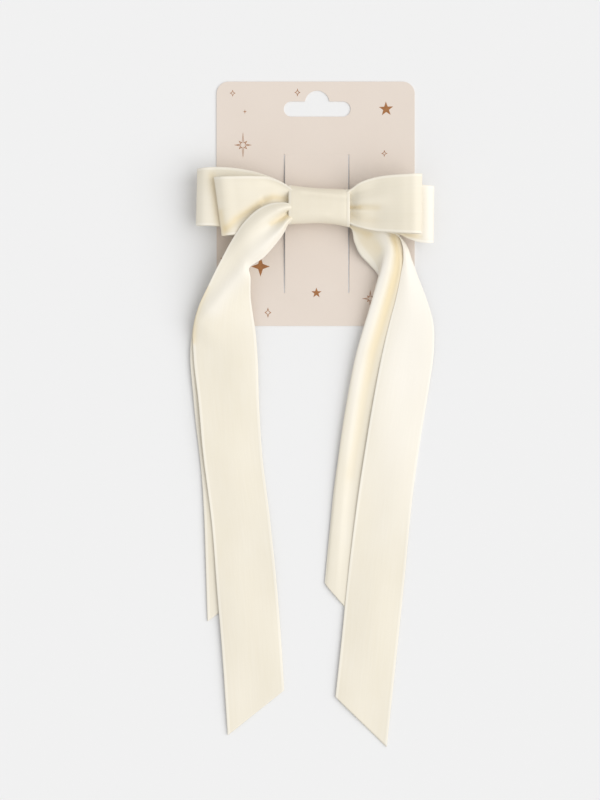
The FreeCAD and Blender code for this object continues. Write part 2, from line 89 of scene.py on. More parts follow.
def through(points, count, closed=False, shares=None):
    """Cubic Hermite curve through the rows of points, sampled evenly along its stations' spacing, or at
    the given shares of it.

    Between rows a and b at share t it is (2t^3-3t^2+1)a + (t^3-2t^2+t)ma + (3t^2-2t^3)b + (t^3-t^2)mb,
    where each m is the gap from a to b times the weighted mean of the slopes on either side of the row."""
    points = np.asarray(points, float)
    if closed:
        points = np.vstack([points[-1], points, points[0], points[1]])
    steps = np.maximum(np.linalg.norm(np.diff(points, axis=0), axis=1), 1e-6)
    at = np.concatenate([[0], np.cumsum(steps)])
    slopes = np.gradient(points, at, axis=0)
    low, high = (at[1], at[-2]) if closed else (at[0], at[-1])
    if shares is None:
        where = np.linspace(low, high, count, endpoint=not closed)
    else:
        where = low + shares * (high - low)
    k = np.clip(np.searchsorted(at, where, side="right") - 1, 0, len(at) - 2)
    gap = (at[k + 1] - at[k])[:, None]
    t = ((where - at[k])[:, None]) / gap
    return (
        (2 * t**3 - 3 * t**2 + 1) * points[k]
        + (t**3 - 2 * t**2 + t) * gap * slopes[k]
        + (3 * t**2 - 2 * t**3) * points[k + 1]
        + (t**3 - t**2) * gap * slopes[k + 1]
    )


def unit(vectors):
    """Vectors at length one."""
    return vectors / np.maximum(np.linalg.norm(vectors, axis=-1, keepdims=True), 1e-9)


def across_shares():
    """Shares from 0 to 1 across a ribbon, close together near both selvages."""
    edge = np.linspace(0, 0.072, 7)
    return np.concatenate([edge, np.linspace(0.1, 0.9, 36), 1 - edge[::-1]])


def ribbon_grid(stations, count, pleats=0.0, phase=0.0, closed=False):
    """Surface of a ribbon between two rails: P(u, v) = (1-v) left(u) + v right(u) + n(u) (w^2 arch(u)
    + w sin(2 pi (pleats v + phase)) pleat(u)), with w = sqrt(4 v (1-v)) and n at right angles to the way
    along and to the line from rail to rail.

    Each station is the left edge, the right edge, the arch and the pleat height."""
    rows = through(stations, count, closed)
    left, right, arch, pleat = rows[:, :3], rows[:, 3:6], rows[:, 6], rows[:, 7]
    v = across_shares()
    middle = (left + right) / 2
    if closed:
        ahead = np.roll(middle, -1, 0) - np.roll(middle, 1, 0)
    else:
        ahead = np.gradient(middle, axis=0)
    normal = unit(np.cross(ahead, right - left))
    if not closed:
        normal = np.where(normal[:, 2:3] < 0, -normal, normal)
    swell = arch[:, None] * 4 * v * (1 - v)
    swell = swell + pleat[:, None] * np.sin(2 * math.pi * (pleats * v + phase)) * np.sqrt(4 * v * (1 - v))
    flat = left[:, None] * (1 - v)[None, :, None] + right[:, None] * v[None, :, None]
    return flat + normal[:, None] * swell[..., None]


def railed_grid(stations, count):
    """Surface through several rails: P(u, v) is a Hermite curve across, through the points that a
    Hermite curve along each rail gives at u. Each station holds one point for each rail."""
    stations = np.asarray(stations, float)
    rails = through(stations.reshape(len(stations), -1), count).reshape(count, -1, 3)
    lines = rails.swapaxes(0, 1).reshape(rails.shape[1], -1)
    grid = through(lines, 0, shares=across_shares())
    return grid.reshape(-1, count, 3).swapaxes(0, 1).copy()


def painted_light_field(grid, path, width, amount):
    """Painted light on the cloth near a line in plan: amount * exp(-(d / width)^2), with d the distance to
    the nearest stretch of the line. Above zero it is a painted amber glow and shade, standing in for light
    that passed through other plies, and below zero it is a painted white highlight, where the cloth glosses."""
    path = np.asarray(path, float)
    nearest = np.full(grid.shape[:2], 1e9)
    for start, stop in zip(path[:-1], path[1:]):
        along = stop - start
        t = np.clip(((grid[..., :2] - start) @ along) / (along @ along), 0, 1)
        nearest = np.minimum(nearest, np.linalg.norm(grid[..., :2] - start - t[..., None] * along, axis=-1))
    return amount * np.exp(-((nearest / width) ** 2))


def painted_light_sum(grid, marks):
    """Sum of the painted light of several marks, each a path, a width and an amount."""
    return sum(painted_light_field(grid, path, width, amount) for path, width, amount in marks)


def crease(grid, start, stop, width, height, ends=0.25, side=0.0, flare=0.0, tail=None):
    """Raises (or sinks) the grid along a line in plan: height * exp(-(d/width)^2), faded in over the
    share ends of the line and out over the share tail, or ends again if tail is None. The bell is
    steeper on the left of the line for a side above zero and on its right for one below. Towards the
    line's end it widens to 1 + flare times its width."""
    steep = 0.45  # width on the steeper side, as a share of the other
    start, stop = np.array(start, float), np.array(stop, float)
    along = stop - start
    length = np.linalg.norm(along)
    along = along / length
    offset = grid[..., :2] - start
    t = (offset @ along) / length
    d = offset @ np.array([-along[1], along[0]])
    reach = width * np.where(d * side > 0, steep, 1.0) * (1 + flare * np.clip(t, 0, 1))
    fade = np.clip(t / ends, 0, 1) * np.clip((1 - t) / (tail or ends), 0, 1)
    fade = fade * fade * (3 - 2 * fade)
    grid[..., 2] += height * np.exp(-((d / reach) ** 2)) * fade
    return grid


def ripple(grid, scale, height, seed):
    """Faint handling waves: a sum of three slow sines along and across the ribbon, each shifted by the
    seed, which grow from nothing over the first eighth of its length."""
    rows, cols = grid.shape[:2]
    u = np.linspace(0, 1, rows)[:, None]
    v = np.linspace(0, 1, cols)[None, :]
    wave = (
        np.sin(2 * math.pi * (scale * u + 0.4 * v + 0.13 * seed))
        + 0.6 * np.sin(2 * math.pi * (1.7 * scale * u - 0.9 * v + 0.41 * seed))
        + 0.4 * np.sin(2 * math.pi * (0.6 * scale * u + 1.4 * v + 0.77 * seed))
    )
    ease = np.clip(u * 8, 0, 1)
    grid[..., 2] += height * wave * ease
    return grid


# ---------------------------------------------------------------- meshes


def new_mesh(name, vertices, faces, uv=None, smooth=True):
    """A mesh object at the origin from millimetre vertices, its faces and one UV pair per face corner."""
    mesh = bpy.data.meshes.new(name)
    listed = faces.tolist() if isinstance(faces, np.ndarray) else faces
    mesh.from_pydata((np.asarray(vertices) * MM).tolist(), [], listed)
    if uv is not None:
        layer = mesh.uv_layers.new(name="ribbon")
        layer.data.foreach_set("uv", np.asarray(uv, np.float32).ravel())
    mesh.polygons.foreach_set("use_smooth", np.full(len(mesh.polygons), smooth))
    mesh.validate()
    mesh.update()
    thing = bpy.data.objects.new(name, mesh)
    bpy.context.scene.collection.objects.link(thing)
    return thing


def cloth(name, grid, wall, selvage, width, closed=False, painted_light=None):
    """A ribbon with its thickness: the grid moved out and in along its normals by half the wall, which
    swells by the selvage's rise in a cord near each edge, and closed round its rim. UV is the share
    across and the way along in ribbon widths. A point attribute holds the painted light: a painted amber
    glow and shade above zero, and a painted white highlight below zero."""
    cord_in, cord_reach = 0.75, 0.3  # from the edge to the cord's middle, and from there to its foot
    rows, cols = grid.shape[:2]
    if closed:
        du = np.roll(grid, -1, 0) - np.roll(grid, 1, 0)
    else:
        du = np.gradient(grid, axis=0)
    normal = unit(np.cross(du, np.gradient(grid, axis=1)))
    v = across_shares()
    from_edge = np.minimum(v, 1 - v) * width
    half = wall / 2 + selvage * np.exp(-(((from_edge - cord_in) / cord_reach) ** 2))
    outward = normal * half[None, :, None]
    vertices = np.concatenate([(grid + outward).reshape(-1, 3), (grid - outward).reshape(-1, 3)])
    back = rows * cols
    ring = np.vstack([grid, grid[:1]]) if closed else grid
    steps = np.linalg.norm(np.diff(ring[:, cols // 2], axis=0), axis=1)
    along = np.concatenate([[0], np.cumsum(steps)]) / width
    i, j = [a.ravel() for a in np.meshgrid(np.arange(len(steps)), np.arange(cols - 1), indexing="ij")]
    i1 = (i + 1) % rows
    top = np.stack([i * cols + j, i1 * cols + j, i1 * cols + j + 1, i * cols + j + 1], -1)
    top_uv = np.stack(
        [np.stack([v[j + a], along[i + b]], -1) for a, b in ((0, 0), (0, 1), (1, 1), (1, 0))], 1
    )
    faces, uv = [top, top[:, ::-1] + back], [top_uv, top_uv[:, ::-1]]
    k = np.arange(len(steps))
    k1 = (k + 1) % rows
    for column, turned in ((0, False), (cols - 1, True)):
        rim = np.stack([k * cols, k * cols + back, k1 * cols + back, k1 * cols], -1) + column
        edge = np.full(len(k), v[column])
        rim_uv = np.stack([np.stack([edge, along[k + b]], -1) for b in (0, 0, 1, 1)], 1)
        faces.append(rim[:, ::-1] if turned else rim)
        uv.append(rim_uv[:, ::-1] if turned else rim_uv)
    if not closed:
        c = np.arange(cols - 1)
        for row, turned in ((0, False), (rows - 1, True)):
            rim = np.stack([c, c + 1, c + 1 + back, c + back], -1) + row * cols
            level = np.full(cols - 1, along[row])
            rim_uv = np.stack([np.stack([v[c + a], level], -1) for a in (0, 1, 1, 0)], 1)
            faces.append(rim[:, ::-1] if turned else rim)
            uv.append(rim_uv[:, ::-1] if turned else rim_uv)
    piece = new_mesh(name, vertices, np.concatenate(faces), np.concatenate(uv).reshape(-1, 2))
    broad = np.arange(len(piece.data.polygons)) < 2 * len(top)  # the faces that are not in the rim
    piece.data.polygons.foreach_set("use_smooth", broad)
    shares = np.zeros((rows, cols)) if painted_light is None else np.clip(painted_light, -1, 1)
    layer = piece.data.attributes.new("painted_light_field", "FLOAT", "POINT")
    layer.data.foreach_set("value", np.tile(shares.ravel(), 2).astype(np.float32))
    return piece


def tube(path, radius, sides=8):
    """Vertices and faces of a round thread along a path, with both ends closed:
    P(u, a) = path(u) + radius (cos a side(u) + sin a up(u)), side and up at right angles to the path."""
    axis = [1.0, 0.02, 0.03]  # about the X axis that the thread winds round, so never along the thread
    ahead = unit(np.gradient(path, axis=0))
    side = unit(np.cross(ahead, np.tile(axis, (len(path), 1))))
    up = np.cross(side, ahead)
    angle = np.linspace(0, 2 * math.pi, sides, endpoint=False)
    spoke = np.cos(angle)[None, :, None] * side[:, None] + np.sin(angle)[None, :, None] * up[:, None]
    skin = path[:, None] + radius * spoke
    i, j = [a.ravel() for a in np.meshgrid(np.arange(len(path) - 1), np.arange(sides), indexing="ij")]
    j1 = (j + 1) % sides
    wall = np.stack([i * sides + j, i * sides + j1, (i + 1) * sides + j1, (i + 1) * sides + j], -1)
    faces = wall.tolist()
    faces.append(list(range(sides))[::-1])
    faces.append([(len(path) - 1) * sides + s for s in range(sides)])
    return skin.reshape(-1, 3), faces


# ---------------------------------------------------------------- materials


def linear(code):
    """Linear colour with alpha 1 from an sRGB hex code such as F1EADA."""
    share = np.array([int(code[k : k + 2], 16) for k in (0, 2, 4)]) / 255
    straight = np.where(share <= 0.04045, share / 12.92, ((share + 0.055) / 1.055) ** 2.4)
    return (*straight.tolist(), 1.0)


def add_node(tree, kind, settings=None, links=None):
    """Adds one node, sets its properties and sockets, and links its inputs from (node, output) pairs."""
    node = tree.nodes.new(kind)
    for key, value in (settings or {}).items():
        if isinstance(key, str) and hasattr(node, key):
            setattr(node, key, value)
        else:
            node.inputs[key].default_value = value
    for key, (source, output) in (links or {}).items():
        tree.links.new(source.outputs[output], node.inputs[key])
    return node


def noise(tree, scale, detail, place):
    """A noise texture over a place. Here and below a place, a share, a value, a height and a colour that
    isn't a hex code are each a (node, output) pair."""
    return add_node(tree, "ShaderNodeTexNoise", {"Scale": scale, "Detail": detail}, {"Vector": place})


def stretched(tree, scale, place):
    """A place with its own scale along each axis."""
    return add_node(tree, "ShaderNodeMapping", {"Scale": scale}, {"Vector": place})


def maths(tree, operation, numbers, links):
    """A sum on values: numbers and links say what each numbered input takes."""
    return add_node(tree, "ShaderNodeMath", {"operation": operation, **numbers}, links)


def ramp(tree, settings, value):
    """A value's range made 0 to 1, or what the settings say."""
    return add_node(tree, "ShaderNodeMapRange", settings, {"Value": value})


def mix(tree, share, first, second):
    """The first colour where the share is 0 and the second where it is 1."""
    settings, links = {"data_type": "RGBA"}, {0: share}
    for socket, colour in ((6, first), (7, second)):
        if isinstance(colour, str):
            settings[socket] = linear(colour)
        else:
            links[socket] = colour
    return add_node(tree, "ShaderNodeMix", settings, links)


def relief(tree, strength, distance, height):
    """A bump from a height, distance in metres."""
    settings = {"Strength": strength, "Distance": distance}
    return add_node(tree, "ShaderNodeBump", settings, {"Height": height})


def blank_material(name):
    """An empty node material and its tree."""
    material = bpy.data.materials.new(name)
    material.use_nodes = True
    material.node_tree.nodes.clear()
    return material, material.node_tree


def finish_material(tree, settings, links):
    """The shader and the output at the end of every material."""
    shader = add_node(tree, "ShaderNodeBsdfPrincipled", settings, links)
    add_node(tree, "ShaderNodeOutputMaterial", None, {"Surface": (shader, "BSDF")})


def satin_weave(name, face_hex, shade_hex, selvage_hex, painted_glow_hex, painted_highlight_hex, width):
    """Polyester satin, woven with long warp floats: a smooth, softly glossy face with faint streaks
    along the ribbon, a flat plain-woven selvage at each edge and a sheen at grazing angles. Painted light
    rides on it from a point attribute: an amber glow and shade in folds, and white highlights."""
    material, tree = blank_material(name)
    place = add_node(tree, "ShaderNodeTexCoord")
    across = add_node(tree, "ShaderNodeSeparateXYZ", None, {"Vector": (place, "UV")})
    # warp streaks: threads lie along the ribbon, so the noise is drawn out 14 to 1
    streak_map = stretched(tree, (width / 1.1, width / 15.0, 1.0), (place, "UV"))
    streaks = noise(tree, 1.0, 3.0, (streak_map, "Vector"))
    # slow unevenness of the dyed cloth, about 20 mm across
    slow_map = stretched(tree, (1.2, 0.9, 1.0), (place, "UV"))
    slow = noise(tree, 1.0, 2.0, (slow_map, "Vector"))
    mixed = maths(tree, "MULTIPLY_ADD", {1: 0.55}, {0: (streaks, "Fac"), 2: (slow, "Fac")})
    tone = ramp(tree, {"From Min": 0.45, "From Max": 1.1}, (mixed, "Value"))
    face = mix(tree, (tone, "Result"), shade_hex, face_hex)
    # way from the middle in ribbon widths: 0 at the middle, 0.5 at either edge
    centred = maths(tree, "SUBTRACT", {1: 0.5}, {0: (across, "X")})
    edge = maths(tree, "ABSOLUTE", {}, {0: (centred, "Value")})
    selvage_share = 1.0 / width  # the selvage is 1 mm wide
    band_ends = {"From Min": 0.5 - 1.25 * selvage_share, "From Max": 0.5 - 0.9 * selvage_share}
    band = ramp(tree, band_ends, (edge, "Value"))
    colour = mix(tree, (band, "Result"), (face, 2), selvage_hex)
    # painted amber glow and shade in folds, standing in for light that reaches the eye through several plies,
    # from the attribute that the shape sets
    painted_light_attribute = add_node(tree, "ShaderNodeAttribute", {"attribute_name": "painted_light_field"})
    painted_light = mix(tree, (painted_light_attribute, "Fac"), (colour, 2), painted_glow_hex)
    # painted white highlight where the cloth glosses towards the light: the same attribute below zero
    painted_highlight_share = maths(tree, "MULTIPLY", {1: -1.0}, {0: (painted_light_attribute, "Fac")})
    lit = mix(tree, (painted_highlight_share, "Value"), (painted_light, 2), painted_highlight_hex)
    # a groove where the satin meets the selvage
    from_groove = maths(tree, "SUBTRACT", {1: 0.5 - 1.3 * selvage_share}, {0: (edge, "Value")})
    distance = maths(tree, "ABSOLUTE", {}, {0: (from_groove, "Value")})
    groove_ends = {"From Min": 0.0, "From Max": 0.32 / width, "To Min": 0.7}
    groove = ramp(tree, {"interpolation_type": "SMOOTHSTEP", **groove_ends}, (distance, "Value"))
    # weft ribs: real ones are 0.12 mm apart and would not show, so they are drawn 0.55 mm apart
    rib_map = stretched(tree, (width / 2.4, width / 0.55, 1.0), (place, "UV"))
    ribs = noise(tree, 1.0, 1.0, (rib_map, "Vector"))
    weave = maths(tree, "MULTIPLY_ADD", {1: 0.5}, {0: (ribs, "Fac"), 2: (streaks, "Fac")})
    grooved = maths(tree, "MULTIPLY", {}, {0: (weave, "Value"), 1: (groove, "Result")})
    bump = relief(tree, 0.22, 0.00012, (grooved, "Value"))
    finish_material(
        tree,
        {
            "Roughness": 0.42,
            "IOR": 1.5,
            "Specular IOR Level": 0.45,
            "Sheen Weight": 0.25,
            "Sheen Roughness": 0.35,
            "Sheen Tint": linear(selvage_hex),
        },
        {"Base Color": (lit, 2), "Normal": (bump, "Normal")},
    )
    return material


def coated_board(name, face_hex, tint_hex):
    """Coated display board, offset printed: matt, pale pink beige, with a faint paper mottle."""
    material, tree = blank_material(name)
    place = add_node(tree, "ShaderNodeTexCoord")
    mottle = noise(tree, 55.0, 4.0, (place, "Object"))
    colour = mix(tree, (mottle, "Fac"), tint_hex, face_hex)
    fibre = noise(tree, 1800.0, 3.0, (place, "Object"))
    bump = relief(tree, 0.12, 0.00006, (fibre, "Fac"))
    finish_material(
        tree,
        {"Roughness": 0.62, "IOR": 1.48, "Specular IOR Level": 0.35},
        {"Base Color": (colour, 2), "Normal": (bump, "Normal")},
    )
    return material


def bronze_print(name, ink_hex, deep_hex):
    """Bronze ink pressed on the board: a warm brown with metal flake, a little uneven in cover."""
    material, tree = blank_material(name)
    place = add_node(tree, "ShaderNodeTexCoord")
    flake = noise(tree, 900.0, 2.0, (place, "Object"))
    colour = mix(tree, (flake, "Fac"), deep_hex, ink_hex)
    finish_material(tree, {"Roughness": 0.5, "Metallic": 0.25, "IOR": 1.5}, {"Base Color": (colour, 2)})
    return material


def nickel_plate(name, bright_hex, dull_hex, roughness):
    """Stamped steel with nickel plate: bright, with fine rolling lines along the strip."""
    material, tree = blank_material(name)
    place = add_node(tree, "ShaderNodeTexCoord")
    lines_map = stretched(tree, (60.0, 2600.0, 2600.0), (place, "Object"))
    lines = noise(tree, 1.0, 3.0, (lines_map, "Vector"))
    colour = mix(tree, (lines, "Fac"), dull_hex, bright_hex)
    bump = relief(tree, 0.1, 0.00003, (lines, "Fac"))
    finish_material(
        tree,
        {"Metallic": 1.0, "Roughness": roughness},
        {"Base Color": (colour, 2), "Normal": (bump, "Normal")},
    )
    return material


def hot_melt(name, glue_hex, cloud_hex):
    """Hot-melt glue: milky and waxy, a little translucent."""
    material, tree = blank_material(name)
    place = add_node(tree, "ShaderNodeTexCoord")
    cloud = noise(tree, 300.0, 2.0, (place, "Object"))
    colour = mix(tree, (cloud, "Fac"), glue_hex, cloud_hex)
    finish_material(
        tree,
        {"Roughness": 0.3, "IOR": 1.48, "Subsurface Weight": 0.3, "Subsurface Scale": 0.001},
        {"Base Color": (colour, 2)},
    )
    return material


def spun_thread(name, thread_hex, shade_hex):
    """Spun polyester sewing thread: matt, with the plies' twist drawn as slanted bumps and painted shade in
    the grooves between them.
    """
    material, tree = blank_material(name)
    place = add_node(tree, "ShaderNodeTexCoord")
    wave = {"Scale": 900.0, "Distortion": 1.5}
    twist = add_node(tree, "ShaderNodeTexWave", wave, {"Vector": (place, "Object")})
    bump = relief(tree, 0.4, 0.00008, (twist, "Fac"))
    # darker where the twist bump is low: painted shade in the grooves between the plies
    colour = mix(tree, (twist, "Fac"), shade_hex, thread_hex)
    finish_material(
        tree,
        {"Roughness": 0.8, "Sheen Weight": 0.3},
        {"Base Color": (colour, 2), "Normal": (bump, "Normal")},
    )
    return material


def studio_paper(name, paper_hex):
    """Seamless studio paper under the object."""
    material, tree = blank_material(name)
    place = add_node(tree, "ShaderNodeTexCoord")
    grain = noise(tree, 500.0, 2.0, (place, "Object"))
    bump = relief(tree, 0.02, 0.0001, (grain, "Fac"))
    finish_material(
        tree,
        {"Base Color": linear(paper_hex), "Roughness": 0.9, "Specular IOR Level": 0.1},
        {"Normal": (bump, "Normal")},
    )
    return material


# ---------------------------------------------------------------- user settings


class RibbonSettings(bpy.types.PropertyGroup):
    """Sizes and colours of the satin ribbon."""

    width: bpy.props.FloatProperty(
        name="Width", description="Ribbon, selvage to selvage", default=0.025, unit="LENGTH"
    )
    wall: bpy.props.FloatProperty(
        name="Thickness", description="Thickness of the satin", default=0.00032, unit="LENGTH", precision=5
    )
    selvage: bpy.props.FloatProperty(
        name="Selvage rise",
        description="How far the edge cord stands out",
        default=0.00003,
        unit="LENGTH",
        precision=5,
    )
    face: bpy.props.StringProperty(name="Face", description="Satin colour, sRGB hex", default="F1EADA")
    shade: bpy.props.StringProperty(name="Shade", description="Darker streaks, sRGB hex", default="EDE5D2")
    edge: bpy.props.StringProperty(name="Selvage", description="Selvage colour, sRGB hex", default="F4EEE0")
    # colour of the painted amber glow and shade in the folds
    painted_glow: bpy.props.StringProperty(
        name="Amber", description="Satin lit through its plies, sRGB hex", default="E6D09E"
    )
    # colour of the painted white highlights
    painted_highlight: bpy.props.StringProperty(
        name="White", description="Satin glossing in the light, sRGB hex", default="FFFBF4"
    )


class CardSettings(bpy.types.PropertyGroup):
    """Colours of the display card and its print."""

    face: bpy.props.StringProperty(name="Board", description="Board colour, sRGB hex", default="E8DCD1")
    tint: bpy.props.StringProperty(name="Mottle", description="Board mottle, sRGB hex", default="E4D7CB")
    ink: bpy.props.StringProperty(name="Ink", description="Bronze ink, sRGB hex", default="B27946")
    ink_deep: bpy.props.StringProperty(name="Deep ink", description="Thick ink, sRGB hex", default="96633A")


class StageSettings(bpy.types.PropertyGroup):
    """Light and camera."""

    sun: bpy.props.FloatProperty(name="Key light", description="Strength of the key light", default=1.62)
    sky: bpy.props.FloatProperty(name="Fill", description="Strength of the surrounding light", default=0.635)
    height: bpy.props.FloatProperty(
        name="Camera height", description="Camera above the surface", default=0.926, unit="LENGTH"
    )
    lens: bpy.props.FloatProperty(name="Lens", description="Focal length in millimetres", default=100.0)


def ribbon_sizes():
    """Ribbon width, wall and selvage rise in millimetres."""
    ribbon = bpy.context.scene.bow_ribbon
    return ribbon.width / MM, ribbon.wall / MM, ribbon.selvage / MM


def satin():
    """The one satin material that every ribbon shares."""
    made = bpy.data.materials.get("ivory_satin")
    if made:
        return made
    ribbon = bpy.context.scene.bow_ribbon
    codes = (ribbon.face, ribbon.shade, ribbon.edge, ribbon.painted_glow, ribbon.painted_highlight)
    return satin_weave("ivory_satin", *codes, ribbon.width / MM)


def add_ribbon(name, grid, node, body=None, closed=False, bend=None, painted_light=None):
    """Makes a ribbon from its grid, gives it satin and hides the CAD node that it replaces. A ribbon without
    a bend rides on the body; one with a bend has its transform baked in and rides on none, and the bend's two
    points are not used."""
    width, wall, selvage = ribbon_sizes()
    piece = cloth(name, grid, wall, selvage, width, closed, painted_light)
    piece.data.materials.append(satin())
    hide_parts(node)
    if bend:
        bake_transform(piece)
    else:
        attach(piece, body)


# ---------------------------------------------------------------- ribbons


def front_left_rails():
    """Stations of the tail that crosses over the loops: left edge, right edge, arch, pleat."""
    return [
        (-4.0, -1.2, 9.0, -4.0, -4.8, 8.8, 0.0, 0.1),
        (-9.6, -0.6, 10.2, -9.6, -6.0, 9.8, 0.0, 0.4),
        (-12.9, 0.5, 12.5, -12.6, -7.8, 11.4, 0.6, 1.5),
        (-16.5, 0.7, 12.9, -14.6, -11.6, 11.2, 1.5, 1.9),
        (-20.6, 0.1, 13.3, -18.2, -16.4, 10.6, 2.1, 1.4),
        (-26.6, -3.2, 13.7, -23.2, -21.8, 9.8, 2.5, 0.7),
        (-31.2, -7.8, 13.6, -26.6, -24.0, 9.2, 2.4, 0.3),
        (-35.6, -14.2, 12.6, -28.9, -25.9, 8.4, 2.0, 0.1),
        (-40.6, -23.0, 10.8, -28.4, -29.8, 6.8, 1.0, 0.0),
        (-45.6, -32.6, 8.0, -28.4, -37.5, 4.2, 0.6, 0.0),
        (-49.8, -41.4, 5.8, -27.6, -44.0, 2.8, 0.5, 0.0),
        (-52.3, -51.5, 3.6, -26.4, -52.0, 2.1, 0.5, 0.0),
        (-52.2, -62.0, 2.7, -25.6, -62.0, 1.7, 0.4, 0.0),
        (-50.2, -80.4, 2.3, -25.0, -80.4, 1.3, 0.3, 0.0),
        (-48.4, -101.0, 2.2, -23.8, -101.0, 1.1, 0.2, 0.0),
        (-44.6, -132.0, 2.0, -20.4, -130.0, 0.9, 0.2, 0.0),
        (-42.4, -160.0, 1.8, -17.6, -157.0, 0.8, 0.2, 0.0),
        (-40.4, -184.0, 1.3, -15.8, -180.0, 0.6, 0.3, 0.0),
        (-38.0, -220.0, 0.5, -14.5, -201.3, 0.6, 0.2, 0.0),
    ]


def front_right_rails():
    """Stations of the brightest tail: it leaves the loops on edge and turns flat."""
    return [
        (4.0, 4.0, 7.4, 4.0, -3.0, 7.2, 0.0, 0.4),
        (13.0, 3.5, 7.6, 13.0, -4.0, 7.4, 0.2, 0.8),
        (22.0, -3.0, 7.4, 22.5, -6.6, 7.4, 0.2, 0.3),
        (30.4, -9.0, 6.6, 31.4, -11.4, 5.6, 0.2, 0.1),
        (34.4, -15.6, 4.7, 36.6, -16.6, 3.2, 0.3, 0.0),
        (35.0, -21.6, 3.7, 38.6, -22.0, 2.0, 0.4, 0.0),
        (34.0, -28.0, 3.1, 41.0, -28.6, 1.5, 0.5, 0.0),
        (32.2, -37.2, 2.8, 44.4, -37.4, 1.2, 0.5, 0.0),
        (29.2, -48.6, 2.35, 47.6, -48.6, 1.0, 0.5, 0.0),
        (26.6, -59.6, 2.1, 47.8, -59.6, 0.8, 0.4, 0.0),
        (23.3, -76.3, 1.85, 45.6, -76.3, 0.6, 0.3, 0.0),
        (19.8, -97.0, 1.6, 42.2, -97.0, 0.5, 0.3, 0.0),
        (16.0, -122.0, 1.45, 38.8, -122.0, 0.5, 0.3, 0.0),
        (11.9, -155.0, 1.3, 35.6, -155.0, 0.5, 0.3, 0.0),
        (9.4, -180.0, 1.1, 32.8, -182.0, 0.5, 0.3, 0.0),
        (6.8, -204.0, 0.7, 28.2, -225.0, 0.5, 0.2, 0.0),
    ]


def back_right_rails():
    """Stations of the tail under the brightest one, each across six rails: the inner edge, the crest that
    it rolls up to, the end of the crest's top, the valley's floor, the line under the brightest tail's
    edge and the outer edge. Below the card the inner edge tucks under the crest."""
    return [
        [(4.0, -4.6, 6.0), (4.0, -3.4, 6.3), (4.0, -2.0, 6.4),
         (4.0, -0.6, 6.4), (4.0, 0.8, 6.4), (4.0, 2.0, 6.4)],
        [(12.9, -9.0, 6.0), (13.4, -7.0, 6.8), (13.5, -5.4, 6.7),
         (13.6, -3.8, 6.4), (13.8, -2.0, 6.4), (14.0, -0.5, 6.4)],
        [(14.6, -14.8, 4.6), (20.6, -8.8, 6.8), (22.2, -7.6, 6.8),
         (23.2, -6.0, 6.2), (24.0, -4.0, 6.0), (24.6, -2.0, 6.2)],
        [(17.1, -20.2, 3.4), (25.7, -12.4, 6.8), (28.0, -12.0, 6.8),
         (29.8, -11.2, 5.0), (31.2, -10.0, 4.6), (32.2, -8.6, 4.6)],
        [(21.2, -24.4, 2.4), (27.5, -17.6, 6.5), (30.0, -17.5, 6.6),
         (32.0, -17.2, 4.4), (33.2, -16.6, 3.9), (34.2, -15.6, 3.8)],
        [(24.6, -28.4, 1.8), (26.4, -24.0, 5.9), (29.2, -24.3, 6.2),
         (31.6, -24.6, 3.6), (33.8, -24.8, 3.0), (36.0, -25.0, 2.4)],
        [(25.6, -35.0, 1.4), (23.6, -33.6, 5.0), (26.8, -34.0, 5.3),
         (29.6, -34.4, 2.8), (32.4, -34.8, 2.3), (38.4, -36.0, 1.6)],
        [(23.6, -45.0, 1.2), (20.4, -44.4, 4.4), (23.6, -44.6, 4.6),
         (26.6, -44.8, 2.4), (30.4, -45.0, 1.9), (40.0, -46.0, 1.3)],
        [(18.4, -60.4, 1.0), (15.8, -60.4, 3.6), (19.0, -60.4, 3.8),
         (22.2, -60.5, 1.9), (26.4, -60.5, 1.5), (38.0, -60.4, 1.0)],
        [(13.0, -80.4, 0.9), (12.0, -80.4, 3.0), (15.2, -80.4, 3.1),
         (18.4, -80.4, 1.5), (22.8, -80.4, 1.2), (35.4, -80.4, 0.8)],
        [(9.4, -98.0, 0.9), (9.4, -98.0, 2.5), (12.4, -98.0, 2.6),
         (15.2, -98.0, 1.3), (20.0, -98.0, 1.0), (33.2, -98.0, 0.7)],
        [(7.0, -112.0, 0.8), (7.9, -112.0, 2.1), (10.8, -112.0, 2.1),
         (13.6, -112.0, 1.1), (18.4, -112.0, 0.9), (31.4, -112.0, 0.7)],
        [(4.5, -135.0, 0.7), (5.8, -135.6, 1.5), (8.6, -135.8, 1.5),
         (11.4, -136.2, 0.9), (16.0, -136.8, 0.8), (28.8, -138.0, 0.6)],
        [(2.4, -156.6, 0.5), (4.0, -158.8, 0.85), (6.4, -161.6, 0.85),
         (9.0, -164.6, 0.7), (14.4, -170.4, 0.6), (26.6, -184.0, 0.5)],
    ]


def back_left_rails():
    """Stations of the tail that shows as a strip left of the crossing one."""
    return [
        (-4.0, 3.0, 6.4, -4.0, -4.0, 6.4, 0.0, 0.4),
        (-13.0, 2.5, 6.4, -13.0, -4.5, 6.0, 0.2, 0.6),
        (-22.0, -2.0, 5.4, -18.0, -12.0, 4.4, 0.3, 0.3),
        (-34.0, -14.0, 3.4, -26.5, -21.5, 2.4, 0.3, 0.0),
        (-44.2, -30.0, 2.0, -31.0, -31.0, 1.2, 0.2, 0.0),
        (-51.0, -44.0, 1.8, -31.0, -44.0, 0.9, 0.3, 0.0),
        (-53.4, -57.0, 1.6, -30.0, -58.0, 0.8, 0.3, 0.0),
        (-52.2, -80.4, 1.1, -28.0, -80.4, 0.6, 0.2, 0.0),
        (-48.7, -113.8, 0.9, -24.4, -113.8, 0.5, 0.2, 0.0),
        (-46.4, -172.6, 0.5, -21.8, -154.0, 0.5, 0.1, 0.0),
    ]


